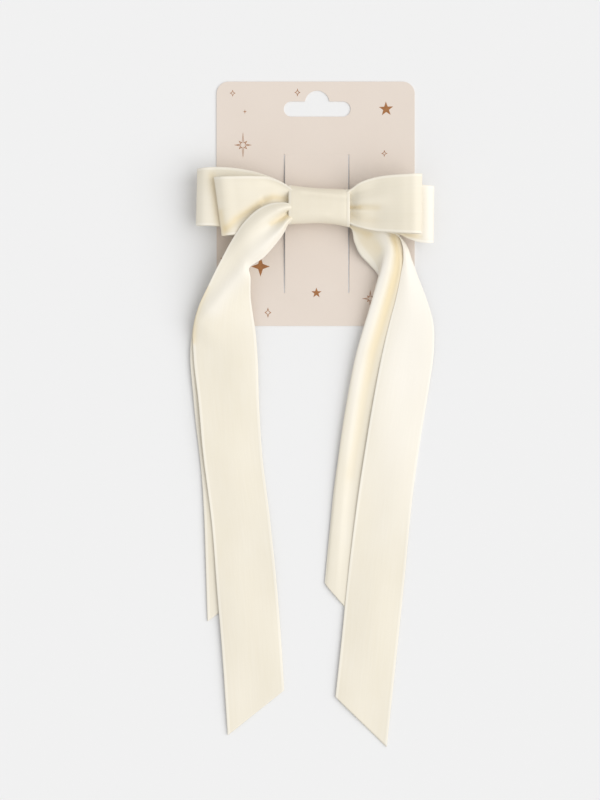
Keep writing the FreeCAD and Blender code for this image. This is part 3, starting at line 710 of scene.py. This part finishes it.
def front_loop_rails():
    """Stations round the front loop, from the knot along the upper ply to the right lobe and back
    along the lower ply, then the left lobe: +Y edge, -Y edge, arch, pleat."""
    return [
        (0.0, 4.6, 11.0, 0.0, -4.8, 10.8, 0.2, 0.1),
        (9.4, 4.0, 10.6, 9.4, -5.8, 10.6, 0.6, 0.1),
        (12.9, 6.3, 11.3, 12.9, -7.9, 11.3, 1.3, 0.3),
        (16.5, 8.8, 13.0, 17.0, -9.5, 12.4, 1.1, 0.5),
        (22.4, 10.8, 14.2, 22.8, -10.8, 13.2, 1.1, 0.7),
        (29.0, 11.8, 15.2, 29.4, -11.4, 14.4, 0.7, 0.3),
        (35.6, 12.2, 15.6, 35.6, -11.8, 15.2, 0.3, 0.1),
        (40.0, 12.5, 15.0, 40.0, -12.0, 14.8, 0.1, 0.0),
        (42.2, 12.6, 13.2, 42.0, -12.0, 13.0, 0.0, 0.0),
        (40.2, 12.5, 11.6, 40.0, -12.0, 11.4, 0.0, 0.0),
        (34.0, 12.1, 11.2, 34.0, -11.7, 10.9, 0.0, 0.0),
        (24.0, 10.9, 10.8, 24.0, -10.9, 10.5, 0.0, 0.0),
        (13.0, 6.6, 10.0, 13.0, -7.0, 9.9, 0.0, 0.0),
        (0.0, 5.4, 9.8, 0.0, -5.6, 9.8, 0.0, 0.0),
        (-13.0, 7.8, 10.0, -13.0, -6.8, 9.8, 0.0, 0.0),
        (-24.0, 11.6, 10.8, -24.0, -11.4, 10.0, 0.0, 0.0),
        (-34.0, 11.3, 11.2, -33.0, -12.4, 10.0, 0.0, 0.0),
        (-41.2, 11.2, 11.6, -38.4, -12.7, 10.2, 0.0, 0.0),
        (-43.2, 11.2, 13.2, -40.0, -12.9, 11.2, 0.0, 0.0),
        (-41.2, 11.2, 15.0, -38.2, -12.7, 12.2, 0.2, 0.0),
        (-34.6, 11.3, 15.6, -32.0, -12.2, 12.4, 0.6, 0.1),
        (-27.0, 11.4, 15.0, -25.0, -11.4, 11.8, 0.9, 0.4),
        (-20.0, 10.9, 13.6, -18.0, -9.6, 11.2, 1.0, 0.8),
        (-12.9, 7.7, 11.7, -12.9, -7.2, 11.3, 1.4, 0.3),
        (-9.4, 4.6, 10.8, -9.4, -5.2, 10.6, 0.6, 0.1),
    ]


def back_loop_rails():
    """Stations round the back loop, in the same order as the front one; it is turned clockwise."""
    return [
        (0.0, 4.8, 9.2, 0.0, -5.2, 9.0, 0.1, 0.1),
        (9.4, 4.8, 9.2, 9.4, -6.2, 8.9, 0.1, 0.2),
        (12.9, 6.2, 9.2, 12.9, -8.0, 8.8, 0.3, 0.4),
        (22.0, 9.2, 10.2, 22.0, -9.9, 9.4, 0.4, 0.4),
        (31.0, 9.2, 10.6, 31.0, -10.9, 9.6, 0.4, 0.2),
        (36.8, 8.8, 10.6, 36.4, -13.7, 9.6, 0.3, 0.1),
        (41.8, 8.4, 10.4, 41.4, -15.3, 9.4, 0.2, 0.0),
        (45.8, 8.1, 9.6, 45.6, -15.6, 8.8, 0.0, 0.0),
        (47.4, 8.0, 8.2, 47.2, -15.4, 7.6, 0.0, 0.0),
        (45.6, 8.1, 6.8, 45.6, -15.2, 6.6, 0.0, 0.0),
        (34.0, 8.9, 6.9, 34.0, -12.2, 7.4, 0.0, 0.0),
        (22.0, 9.1, 7.3, 22.0, -10.0, 7.7, 0.0, 0.0),
        (13.0, 6.4, 7.8, 13.0, -7.6, 7.8, 0.0, 0.0),
        (0.0, 6.0, 7.8, 0.0, -6.2, 7.7, 0.0, 0.0),
        (-13.0, 7.9, 7.6, -13.0, -6.8, 7.4, 0.0, 0.0),
        (-22.0, 12.0, 6.8, -22.0, -10.4, 6.2, 0.0, 0.0),
        (-34.0, 14.7, 6.6, -34.0, -9.3, 5.8, 0.0, 0.0),
        (-45.6, 15.3, 6.8, -46.0, -8.4, 6.2, 0.0, 0.0),
        (-49.0, 15.2, 7.4, -49.4, -8.4, 6.8, 0.0, 0.0),
        (-50.2, 15.0, 9.0, -50.8, -8.3, 8.4, 0.0, 0.0),
        (-48.4, 15.2, 10.6, -49.0, -8.4, 9.8, 0.1, 0.0),
        (-43.0, 15.5, 11.2, -43.0, -8.6, 10.2, 0.2, 0.0),
        (-34.0, 15.0, 11.0, -34.0, -9.4, 10.0, 0.3, 0.2),
        (-25.0, 13.2, 10.4, -25.0, -10.4, 9.6, 0.4, 0.4),
        (-12.9, 7.8, 9.4, -12.9, -7.2, 9.0, 0.3, 0.4),
        (-9.4, 5.2, 9.2, -9.4, -5.6, 9.0, 0.1, 0.2),
    ]


def knot_section():
    """Section of the knot band round the gathered plies, as (Y, Z) in shares of its half height and
    depth: flat below against the glue, a crest a little above the middle, sloping to the lower side."""
    return np.array(
        [
            (-0.62, 0.0), (0.0, 0.0), (0.62, 0.0), (0.93, 0.18), (1.0, 0.42), (0.86, 0.7),
            (0.5, 0.9), (0.1, 0.98), (-0.35, 1.0), (-0.74, 0.89), (-0.96, 0.6), (-0.93, 0.22),
        ]
    )


def knot_grid(low, high):
    """The band: its section carried along X. With w from -1 at the left edge to 1 at the right one, its
    half height is 7.15 + 0.95 max(-w, 0)^1.4 + 0.75 max(w - 0.1, 0)^2, so it is waisted, and its middle
    lies at 0.15 - 0.4 (w + 1) - 0.75 max(w, 0)^2, so it slopes down to the right."""
    end_gap = 0.35  # from the CAD solid's end to the cloth's edge
    skin_gap = 0.3  # from the CAD solid's underside to the cloth
    outline = knot_section()
    section = through(np.column_stack([outline, np.zeros(len(outline))]), 96, closed=True)
    x = low[0] + end_gap + across_shares() * (high[0] - low[0] - 2 * end_gap)
    way = (x - x.mean()) / (x[-1] - x[0]) * 2
    half = 7.15 + 0.95 * np.clip(-way, 0, 1) ** 1.4 + 0.75 * np.clip(way - 0.1, 0, 1) ** 2
    middle = 0.15 - 0.8 * (way + 1) / 2 - 0.75 * np.clip(way, 0, 1) ** 2
    depth = (high[2] - low[2] - 2 * skin_gap) * (1 - 0.035 * way**2)
    y = middle[None, :] + section[:, :1] * half[None, :]
    z = low[2] + skin_gap + section[:, 1:2] * depth[None, :]
    return np.stack([np.broadcast_to(x, y.shape), y, z], -1).copy()


def make_front_loop():
    """Front loop: a closed band of ribbon pinched under the knot."""
    grid = ribbon_grid(front_loop_rails(), 360, pleats=1.5, phase=0.1, closed=True)
    # creases that fan out from the knot: start, end, width, height
    for start, stop, width, height in (
        ((7.0, -0.9), (30.0, -1.4), 0.45, -0.9),
        ((7.0, -1.9), (27.0, -3.6), 0.5, 0.5),
        ((7.0, -3.2), (26.0, -7.4), 0.45, -0.6),
        ((7.0, 1.0), (30.0, 1.6), 0.7, 0.5),
        ((7.0, 3.0), (26.0, 7.4), 0.5, -0.5),
        ((-7.0, 4.6), (-29.0, 7.6), 0.7, 0.4),
    ):
        crease(grid, start, stop, width, height, ends=0.24, flare=2.2, tail=0.7)
    # the hollow that the crossing tail presses into the left lobe, out to its corner
    crease(grid, (-12.0, 2.4), (-25.0, 1.8), 1.5, -0.8, ends=0.2)
    crease(grid, (-19.0, 3.2), (-38.0, -9.5), 1.6, -0.8, ends=0.25)
    fold = [(-12.9, 2.4), (-19.2, 2.9), (-23.9, 0.8), (-28, -2), (-34.3, -6.1), (-38, -9.8)]
    # painted light, all amber: a faint shade over the whole loop, and glow and shade along the fold under the
    # crossing tail, in the creases by the knot and at the left lobe's end
    painted_light = 0.06 + painted_light_sum(grid, [
        (fold, 1.6, 0.52),
        ([(12.0, -1.0), (16.5, -1.1)], 0.9, 0.4),
        ([(17.5, -1.1), (24, -1.4)], 1.3, 0.25),
        ([(12.0, -4.0), (22, -6.6)], 2.6, 0.14),
        ([(-40.5, -3.0), (-39.0, -12.4)], 1.2, 0.35),
    ])
    add_ribbon("front_loop_ribbon", grid, "front_loop", BOW, closed=True,
               painted_light=painted_light)


def make_back_loop():
    """Back loop: wider than the front one and turned clockwise behind it."""
    grid = ribbon_grid(back_loop_rails(), 360, pleats=1.5, phase=0.2, closed=True)
    # painted light: amber shade along the lower right edge and beside the front loop's left end, and a
    # painted white highlight over the right end
    painted_light = painted_light_sum(grid, [
        ([(32, -12.3), (42, -13.0)], 1.1, 0.42),
        ([(45, 6), (45, -13)], 4.0, -0.5),
        ([(-44.2, 12.0), (-41.5, -8.0)], 1.6, 0.35),
    ])
    add_ribbon("back_loop_ribbon", grid, "back_loop", BOW, closed=True,
               painted_light=painted_light)


def make_front_left_tail():
    """The tail that leaves the knot over the loops, folds over itself and hangs down on the left."""
    grid = ribbon_grid(front_left_rails(), 300, pleats=1.5, phase=0.02)
    # the fold over itself, and the shallow trough on its upper side
    crease(grid, (-27.0, -22.5), (-54.0, -54.0), 9.0, 1.4, ends=0.2, side=-1.0)
    crease(grid, (-28.0, -16.0), (-54.0, -47.0), 3.6, -0.4, ends=0.25)
    ripple(grid, 2.3, 0.18, 1.0)
    # painted light: amber shade in the wedge at the knot and along the left edge below the fold, and a
    # painted white highlight along the fold
    painted_light = painted_light_sum(grid, [
        ([(-12.4, -4.4), (-19.5, -8.0)], 1.3, 0.6),
        ([(-46.5, -34), (-51.5, -46), (-52.4, -56)], 1.3, 0.5),
        ([(-18, -12), (-25, -19.5), (-31, -27), (-38, -34), (-44, -42)], 4.2, -0.42),
    ])
    add_ribbon("front_left_tail_ribbon", grid, "front_left_tail",
               bend=((-26.0, -20.0, 0.0), (-42.0, -80.0, 0.0)), painted_light=painted_light)


def make_front_right_tail():
    """The brightest tail: out on edge from under the right lobe, then flat over the back one."""
    grid = ribbon_grid(front_right_rails(), 300, pleats=1.5, phase=0.3)
    ripple(grid, 2.1, 0.16, 2.0)
    # painted white highlight over the upper part of the tail, fading out lower down
    fade = np.clip((grid[..., 1] + 150) / 80, 0, 1)
    painted_light = painted_light_field(grid, [(39, -26), (39, -50), (36, -80), (29, -160)], 15.0, -0.6) * fade
    add_ribbon("front_right_tail_ribbon", grid, "front_right_tail",
               bend=((20.0, -14.0, 0.0), (34.0, -80.0, 0.0)), painted_light=painted_light)


def make_back_right_tail():
    """The lower right tail, with a crest along its left side."""
    grid = railed_grid(back_right_rails(), 260)[:, ::-1].copy()
    ripple(grid, 1.7, 0.1, 3.0)
    down = grid[..., 1]
    valley = [
        (31.0, -13), (32.8, -20), (32.2, -27), (29.6, -36), (26.8, -46), (22.4, -60), (18.4, -80), (13, -112),
    ]
    crest = [
        (26.8, -12.4), (28.4, -17.6), (27.2, -24.2), (24.6, -33.8), (21.4, -44.5), (16.8, -60.4), (9.6, -120),
    ]
    # painted light: an amber glow and shade in the valley, paling below the card, and a painted white
    # highlight along the crest; both are gone before the tail's end
    painted_glow = (0.36 + 0.32 * np.clip((down + 75) / 40, 0, 1)) * np.clip((down + 150) / 90, 0, 1)
    painted_highlight = -0.65 * np.clip((down + 110) / 60, 0, 1)
    painted_light = painted_light_field(grid, valley, 2.2, painted_glow) + painted_light_field(grid, crest, 2.0, painted_highlight)
    # more painted amber shade where the tail leaves the knot under the right lobe
    painted_light += painted_light_sum(grid, [
        ([(13, -8.4), (17, -10.4), (21, -11.8)], 1.3, 0.45),
        ([(19, -14), (25, -18)], 3.6, 0.3),
    ])
    add_ribbon("back_right_tail_ribbon", grid, "back_right_tail",
               bend=((18.0, -12.0, 0.0), (30.0, -78.0, 0.0)), painted_light=painted_light)


def make_back_left_tail():
    """The lower left tail, mostly hidden under the crossing one."""
    grid = ribbon_grid(back_left_rails(), 240, pleats=1.5, phase=0.1)
    ripple(grid, 1.9, 0.1, 4.0)
    add_ribbon("back_left_tail_ribbon", grid, "back_left_tail",
               bend=((-20.0, -14.0, 0.0), (-40.0, -80.0, 0.0)))


def make_knot_band():
    """The ribbon wrapped round the middle."""
    low, high = box_mm("knot_band")
    grid = knot_grid(low, high)
    # creases worn into the upper side only
    worn = crease(grid.copy(), (-11.0, 6.0), (12.5, 3.6), 0.8, 0.34, ends=0.15)
    crease(worn, (-8.0, 4.6), (12.5, 2.0), 1.0, -0.22, ends=0.2)
    crease(worn, (11.2, 6.4), (11.0, -7.6), 0.3, -0.1, ends=0.15)
    crease(worn, (-12.0, -3.4), (6.0, -4.2), 1.1, 0.2, ends=0.25)
    worn[..., 2] -= 0.4 * np.exp(-((worn[..., 0] - low[0]) ** 2))  # the left edge is drawn down
    grid = np.where(grid[..., 2:3] > (low[2] + high[2]) / 2, worn, grid)
    # a faint painted amber shade over the whole band
    add_ribbon("knot_band_ribbon", grid, "knot_band", BOW, closed=True,
               painted_light=np.full(grid.shape[:2], 0.1))


def make_winding():
    """Turns of thread round the gathered plies: a helix about X whose round is squared off, because its
    cosine and sine are taken to a power below 1 with their signs kept."""
    low, high = box_mm("gather_thread")
    turns, radius, power = 7, 0.2, 0.7
    angle = np.linspace(0, 2 * math.pi * turns, turns * 40)
    x = np.linspace(low[0] + radius, high[0] - radius, len(angle))
    half = (high - low) / 2 - radius
    middle = (high + low) / 2
    y = middle[1] + half[1] * np.sign(np.cos(angle)) * np.abs(np.cos(angle)) ** power
    z = middle[2] + half[2] * np.sign(np.sin(angle)) * np.abs(np.sin(angle)) ** power
    piece = new_mesh("gather_thread_winding", *tube(np.stack([x, y, z], -1), radius))
    piece.data.materials.append(spun_thread("polyester_thread", THREAD, THREAD_SHADE))
    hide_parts("gather_thread")
    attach(piece, BOW)


def make_glue():
    """A pressed blob of glue: a superellipse in plan, whose reach from its middle at height angle u and
    plan angle a is sin(u)^0.45 (1 + 0.035 sin(3a + 1) + 0.02 sin(7a)), so its rim is round and uneven."""
    low, high = box_mm("glue_pad")
    rows, cols = 48, 96
    power = 0.55  # of the superellipse
    fill = 0.96  # share of the CAD pad's length and width
    u = np.linspace(0.0, math.pi, rows)[:, None]
    a = np.linspace(0, 2 * math.pi, cols, endpoint=False)[None, :]
    reach = np.sin(u) ** 0.45 * (1 + 0.035 * np.sin(3 * a + 1) + 0.02 * np.sin(7 * a))
    half, middle = (high - low) / 2, (high + low) / 2
    x = middle[0] + fill * half[0] * reach * np.sign(np.cos(a)) * np.abs(np.cos(a)) ** power
    y = middle[1] + fill * half[1] * reach * np.sign(np.sin(a)) * np.abs(np.sin(a)) ** power
    z = middle[2] - half[2] * np.cos(u) + 0 * a
    skin = np.stack([x, y, z], -1)
    i, j = [k.ravel() for k in np.meshgrid(np.arange(rows - 1), np.arange(cols), indexing="ij")]
    j1 = (j + 1) % cols
    faces = np.stack([i * cols + j, i * cols + j1, (i + 1) * cols + j1, (i + 1) * cols + j], -1)
    piece = new_mesh("glue_layer", skin.reshape(-1, 3), faces)
    mend(piece)
    piece.data.materials.append(hot_melt("hot_melt_glue", GLUE, GLUE_CLOUD))
    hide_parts("glue_pad")
    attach(piece, BOW)


def mend(piece):
    """Merges doubled points, closes poles and turns every face outwards."""
    work = bmesh.new()
    work.from_mesh(piece.data)
    bmesh.ops.remove_doubles(work, verts=work.verts, dist=1e-7)
    bmesh.ops.dissolve_degenerate(work, edges=work.edges, dist=1e-8)
    bmesh.ops.recalc_face_normals(work, faces=work.faces)
    work.to_mesh(piece.data)
    work.free()


def make_metal():
    """Plating on the clasp's stamped pieces, which keep their CAD meshes."""
    plate = nickel_plate("nickel_plated_steel", PLATE, PLATE_DULL, 0.24)
    strip = nickel_plate("spring_steel_strip", STRIP, STRIP_DULL, 0.32)
    for node, finish in (
        ("base_plate", plate), ("clasp_arm", plate), ("hinge_pin", plate), ("tension_spring", strip),
    ):
        dress(node, finish)


def dress(node, material):
    """Gives a CAD node's own object a material."""
    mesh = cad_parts[node].data
    mesh.materials.clear()
    mesh.materials.append(material)


# ---------------------------------------------------------------- card


def star_outline(points, outer, inner, turn=90.0, stretch=1.0):
    """Corners of a star: radius alternates between outer and inner; stretch lengthens it along Y."""
    angle = np.radians(turn) + np.arange(points * 2) * math.pi / points
    radius = np.where(np.arange(points * 2) % 2 == 0, outer, inner)
    return np.stack([radius * np.cos(angle), radius * np.sin(angle) * stretch], -1)


def compass_outline(long_x, long_y, short, inner):
    """Corners of an eight-pointed compass star with a tall cross and a short diagonal cross."""
    angle = np.radians(90) + np.arange(16) * math.pi / 8
    radius = np.full(16, inner)
    radius[[0, 8]] = long_y
    radius[[4, 12]] = long_x
    radius[[2, 6, 10, 14]] = short
    return np.stack([radius * np.cos(angle), radius * np.sin(angle)], -1)


def make_prints():
    """Stars printed on the card: a skin of ink on the board, filled or in outline."""
    low, high = box_mm("display_card")
    left, top = low[0], high[1]
    ink, sunk = 0.03, 0.02  # the skin's top above the board's face, and its underside below the face
    # outline, millimetres right of the card's left edge and down from its top, line width (0 is filled)
    marks = [
        (star_outline(5, 3.1, 1.25, 92), 70.6, 11.4, 0.0),
        (compass_outline(3.75, 5.4, 2.5, 1.2), 11.0, 26.4, 0.26),
        (star_outline(4, 1.2, 0.5, 90, 1.2), 6.7, 4.8, 0.2),
        (star_outline(4, 1.2, 0.5, 90, 1.4), 33.7, 4.5, 0.24),
        (star_outline(4, 1.35, 0.5, 90, 1.1), 69.9, 29.9, 0.2),
        (star_outline(4, 0.85, 0.2, 90, 1.2), 11.8, 12.5, 0.0),
        (star_outline(4, 3.9, 1.4, 90, 1.08), 18.3, 77.0, 0.0),
        (star_outline(5, 2.2, 0.9, 90), 41.6, 88.0, 0.0),
        (star_outline(4, 1.4, 0.6, 90, 1.55), 21.4, 96.2, 0.26),
        (compass_outline(3.6, 3.7, 1.9, 1.0), 64.0, 90.4, 0.24),
        (star_outline(6, 0.35, 0.3, 90), 2.0, 73.6, 0.0),
    ]
    vertices, faces = [], []
    for outline, right, down, line in marks:
        middle = np.array([left + right, top - down])
        outer = outline + middle
        inner = inset(outline, line) + middle if line else np.repeat(middle[None], len(outline), 0)
        base, count = sum(map(len, vertices)), len(outline)
        for depth in (ink, -sunk):
            for ring in (outer, inner):
                vertices.append(np.column_stack([ring, BOARD + band_lift(ring) + depth]))
        k = np.arange(count)
        n = (k + 1) % count
        a, b, c, d = base + np.arange(4) * count
        faces += [
            np.stack([a + k, a + n, b + n, b + k], -1),
            np.stack([c + n, c + k, d + k, d + n], -1),
            np.stack([c + k, c + n, a + n, a + k], -1),
        ]
        if line:
            faces.append(np.stack([b + k, b + n, d + n, d + k], -1))
    card = bpy.context.scene.bow_card
    piece = new_mesh("printed_stars", np.concatenate(vertices), np.concatenate(faces), smooth=False)
    mend(piece)
    piece.data.materials.append(bronze_print("bronze_ink", card.ink, card.ink_deep))
    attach(piece, ROOT)


def inset(outline, line):
    """The outline moved inwards by the line's width: each corner by line (n1 + n2) / (1 + n1.n2), with
    n1 and n2 the inward normals of its two sides, and never past a fifth of its radius."""
    side = unit(np.roll(outline, -1, 0) - outline)
    normal = np.stack([-side[:, 1], side[:, 0]], -1)
    before = np.roll(normal, 1, 0)
    shift = line * (before + normal) / np.maximum(1 + (before * normal).sum(-1, keepdims=True), 0.05)
    radius = np.linalg.norm(outline, axis=1, keepdims=True)
    moved = outline + shift
    share = np.clip((moved * outline).sum(-1, keepdims=True) / radius**2, 0.2, 1.0)
    return outline * share


def band_lift(points):
    """Height of the card's band above the board at points in plan: it climbs from the slits' ends to
    the clasp arm. Outside the band it is nothing."""
    low, high = box_mm("display_card")
    half, middle = 13.1, -1.0  # of the band in X, from slit to slit
    foot, head = -35.8, 21.9  # Y of the slits' two ends
    flat = 5.0  # half the length that lies on the clasp arm
    rise = high[2] - low[2] - BOARD
    x, y = points[:, 0], points[:, 1]
    climb = np.minimum((y - foot) / (-flat - foot), (head - y) / (head - flat))
    return np.where(np.abs(x - middle) < half, rise * np.clip(climb, 0, 1), 0.0)


def make_card():
    """Board finish on the CAD card, and its printed stars."""
    card = bpy.context.scene.bow_card
    dress("display_card", coated_board("coated_board", card.face, card.tint))
    make_prints()


# ---------------------------------------------------------------- stage


def make_stage():
    """Pale paper, a broad key light from the right, soft fill and a camera straight above."""
    stage = bpy.context.scene.bow_stage
    half = 12000.0
    drop = -0.05  # just under the card, so that the two share no plane
    corners = [(-half, -half, drop), (half, -half, drop), (half, half, drop), (-half, half, drop)]
    floor = new_mesh("studio_floor", corners, [(0, 1, 2, 3)], smooth=False)
    floor.data.materials.append(studio_paper("studio_paper", PAPER))
    world = bpy.data.worlds.new("studio")
    world.use_nodes = True
    back = world.node_tree.nodes["Background"]
    back.inputs["Color"].default_value = (1.0, 1.0, 1.0, 1.0)
    back.inputs["Strength"].default_value = stage.sky
    bpy.context.scene.world = world
    key = bpy.data.lights.new("key", "SUN")
    key.energy = stage.sun
    key.angle = math.radians(64)  # as wide as a large softbox close by
    lamp = bpy.data.objects.new("key", key)
    lamp.rotation_euler = (math.radians(5), math.radians(43), 0.0)  # 43 degrees over to the right
    bpy.context.scene.collection.objects.link(lamp)
    eye = bpy.data.cameras.new("camera")
    eye.lens = stage.lens
    eye.sensor_width = 36.0
    camera = bpy.data.objects.new("camera", eye)
    middle_x, middle_y = -0.0079, -0.0804  # middle of the bow and its card together
    camera.location = (middle_x, middle_y, stage.height)
    eye.clip_end = 20.0
    bpy.context.scene.collection.objects.link(camera)
    bpy.context.scene.camera = camera
    bpy.context.scene.view_settings.view_transform = "Standard"
    bpy.context.scene.view_settings.look = "None"


# ---------------------------------------------------------------- add-on


class BOW_OT_card(bpy.types.Operator):
    """Board finish and printed stars"""

    bl_idname = "bow.card"
    bl_label = "Display card"

    def execute(self, context):
        make_card()
        return {"FINISHED"}


class BOW_OT_metal(bpy.types.Operator):
    """Plating on the clasp's stamped pieces"""

    bl_idname = "bow.metal"
    bl_label = "Clasp metal"

    def execute(self, context):
        make_metal()
        return {"FINISHED"}


class BOW_OT_glue(bpy.types.Operator):
    """The pressed layer of glue between bow and clasp"""

    bl_idname = "bow.glue"
    bl_label = "Glue"

    def execute(self, context):
        make_glue()
        return {"FINISHED"}


class BOW_OT_winding(bpy.types.Operator):
    """Thread wound round the gathered plies"""

    bl_idname = "bow.winding"
    bl_label = "Thread winding"

    def execute(self, context):
        make_winding()
        return {"FINISHED"}


class BOW_OT_back_left_tail(bpy.types.Operator):
    """The lower left tail"""

    bl_idname = "bow.back_left_tail"
    bl_label = "Back left tail"

    def execute(self, context):
        make_back_left_tail()
        return {"FINISHED"}


class BOW_OT_back_right_tail(bpy.types.Operator):
    """The lower right tail with its rolled crest"""

    bl_idname = "bow.back_right_tail"
    bl_label = "Back right tail"

    def execute(self, context):
        make_back_right_tail()
        return {"FINISHED"}


class BOW_OT_front_right_tail(bpy.types.Operator):
    """The brightest tail, over the back right one"""

    bl_idname = "bow.front_right_tail"
    bl_label = "Front right tail"

    def execute(self, context):
        make_front_right_tail()
        return {"FINISHED"}


class BOW_OT_back_loop(bpy.types.Operator):
    """The wider loop, behind"""

    bl_idname = "bow.back_loop"
    bl_label = "Back loop"

    def execute(self, context):
        make_back_loop()
        return {"FINISHED"}


class BOW_OT_front_loop(bpy.types.Operator):
    """The narrower loop, in front"""

    bl_idname = "bow.front_loop"
    bl_label = "Front loop"

    def execute(self, context):
        make_front_loop()
        return {"FINISHED"}


class BOW_OT_front_left_tail(bpy.types.Operator):
    """The tail that crosses over the loops"""

    bl_idname = "bow.front_left_tail"
    bl_label = "Front left tail"

    def execute(self, context):
        make_front_left_tail()
        return {"FINISHED"}


class BOW_OT_knot_band(bpy.types.Operator):
    """The ribbon wrapped round the middle"""

    bl_idname = "bow.knot_band"
    bl_label = "Knot band"

    def execute(self, context):
        make_knot_band()
        return {"FINISHED"}


class BOW_OT_stage(bpy.types.Operator):
    """Floor, light and camera"""

    bl_idname = "bow.stage"
    bl_label = "Stage"

    def execute(self, context):
        make_stage()
        return {"FINISHED"}


OPERATORS = [
    BOW_OT_card,
    BOW_OT_metal,
    BOW_OT_glue,
    BOW_OT_winding,
    BOW_OT_back_left_tail,
    BOW_OT_back_right_tail,
    BOW_OT_front_right_tail,
    BOW_OT_back_loop,
    BOW_OT_front_loop,
    BOW_OT_front_left_tail,
    BOW_OT_knot_band,
    BOW_OT_stage,
]


class BOW_PT_panel(bpy.types.Panel):
    """Lists the steps that make the bow, in order."""

    bl_label = "Hair bow"
    bl_space_type = "VIEW_3D"
    bl_region_type = "UI"
    bl_category = "Hair bow"

    def draw(self, context):
        for operator in OPERATORS:
            self.layout.operator(operator.bl_idname)


GROUPS = [("bow_ribbon", RibbonSettings), ("bow_card", CardSettings), ("bow_stage", StageSettings)]


def register():
    """Registers the settings, the operators and the panel."""
    for name, group in GROUPS:
        bpy.utils.register_class(group)
        setattr(bpy.types.Scene, name, bpy.props.PointerProperty(type=group))
    for operator in OPERATORS:
        bpy.utils.register_class(operator)
    bpy.utils.register_class(BOW_PT_panel)


def unregister():
    """Takes everything that register added away again."""
    bpy.utils.unregister_class(BOW_PT_panel)
    for operator in reversed(OPERATORS):
        bpy.utils.unregister_class(operator)
    for name, group in reversed(GROUPS):
        delattr(bpy.types.Scene, name)
        bpy.utils.unregister_class(group)


def main():
    """Makes every piece in order."""
    register()
    for operator in OPERATORS:
        getattr(bpy.ops.bow, operator.bl_idname.split(".")[1])()
    bpy.context.view_layer.update()


if __name__ == "__main__":
    main()
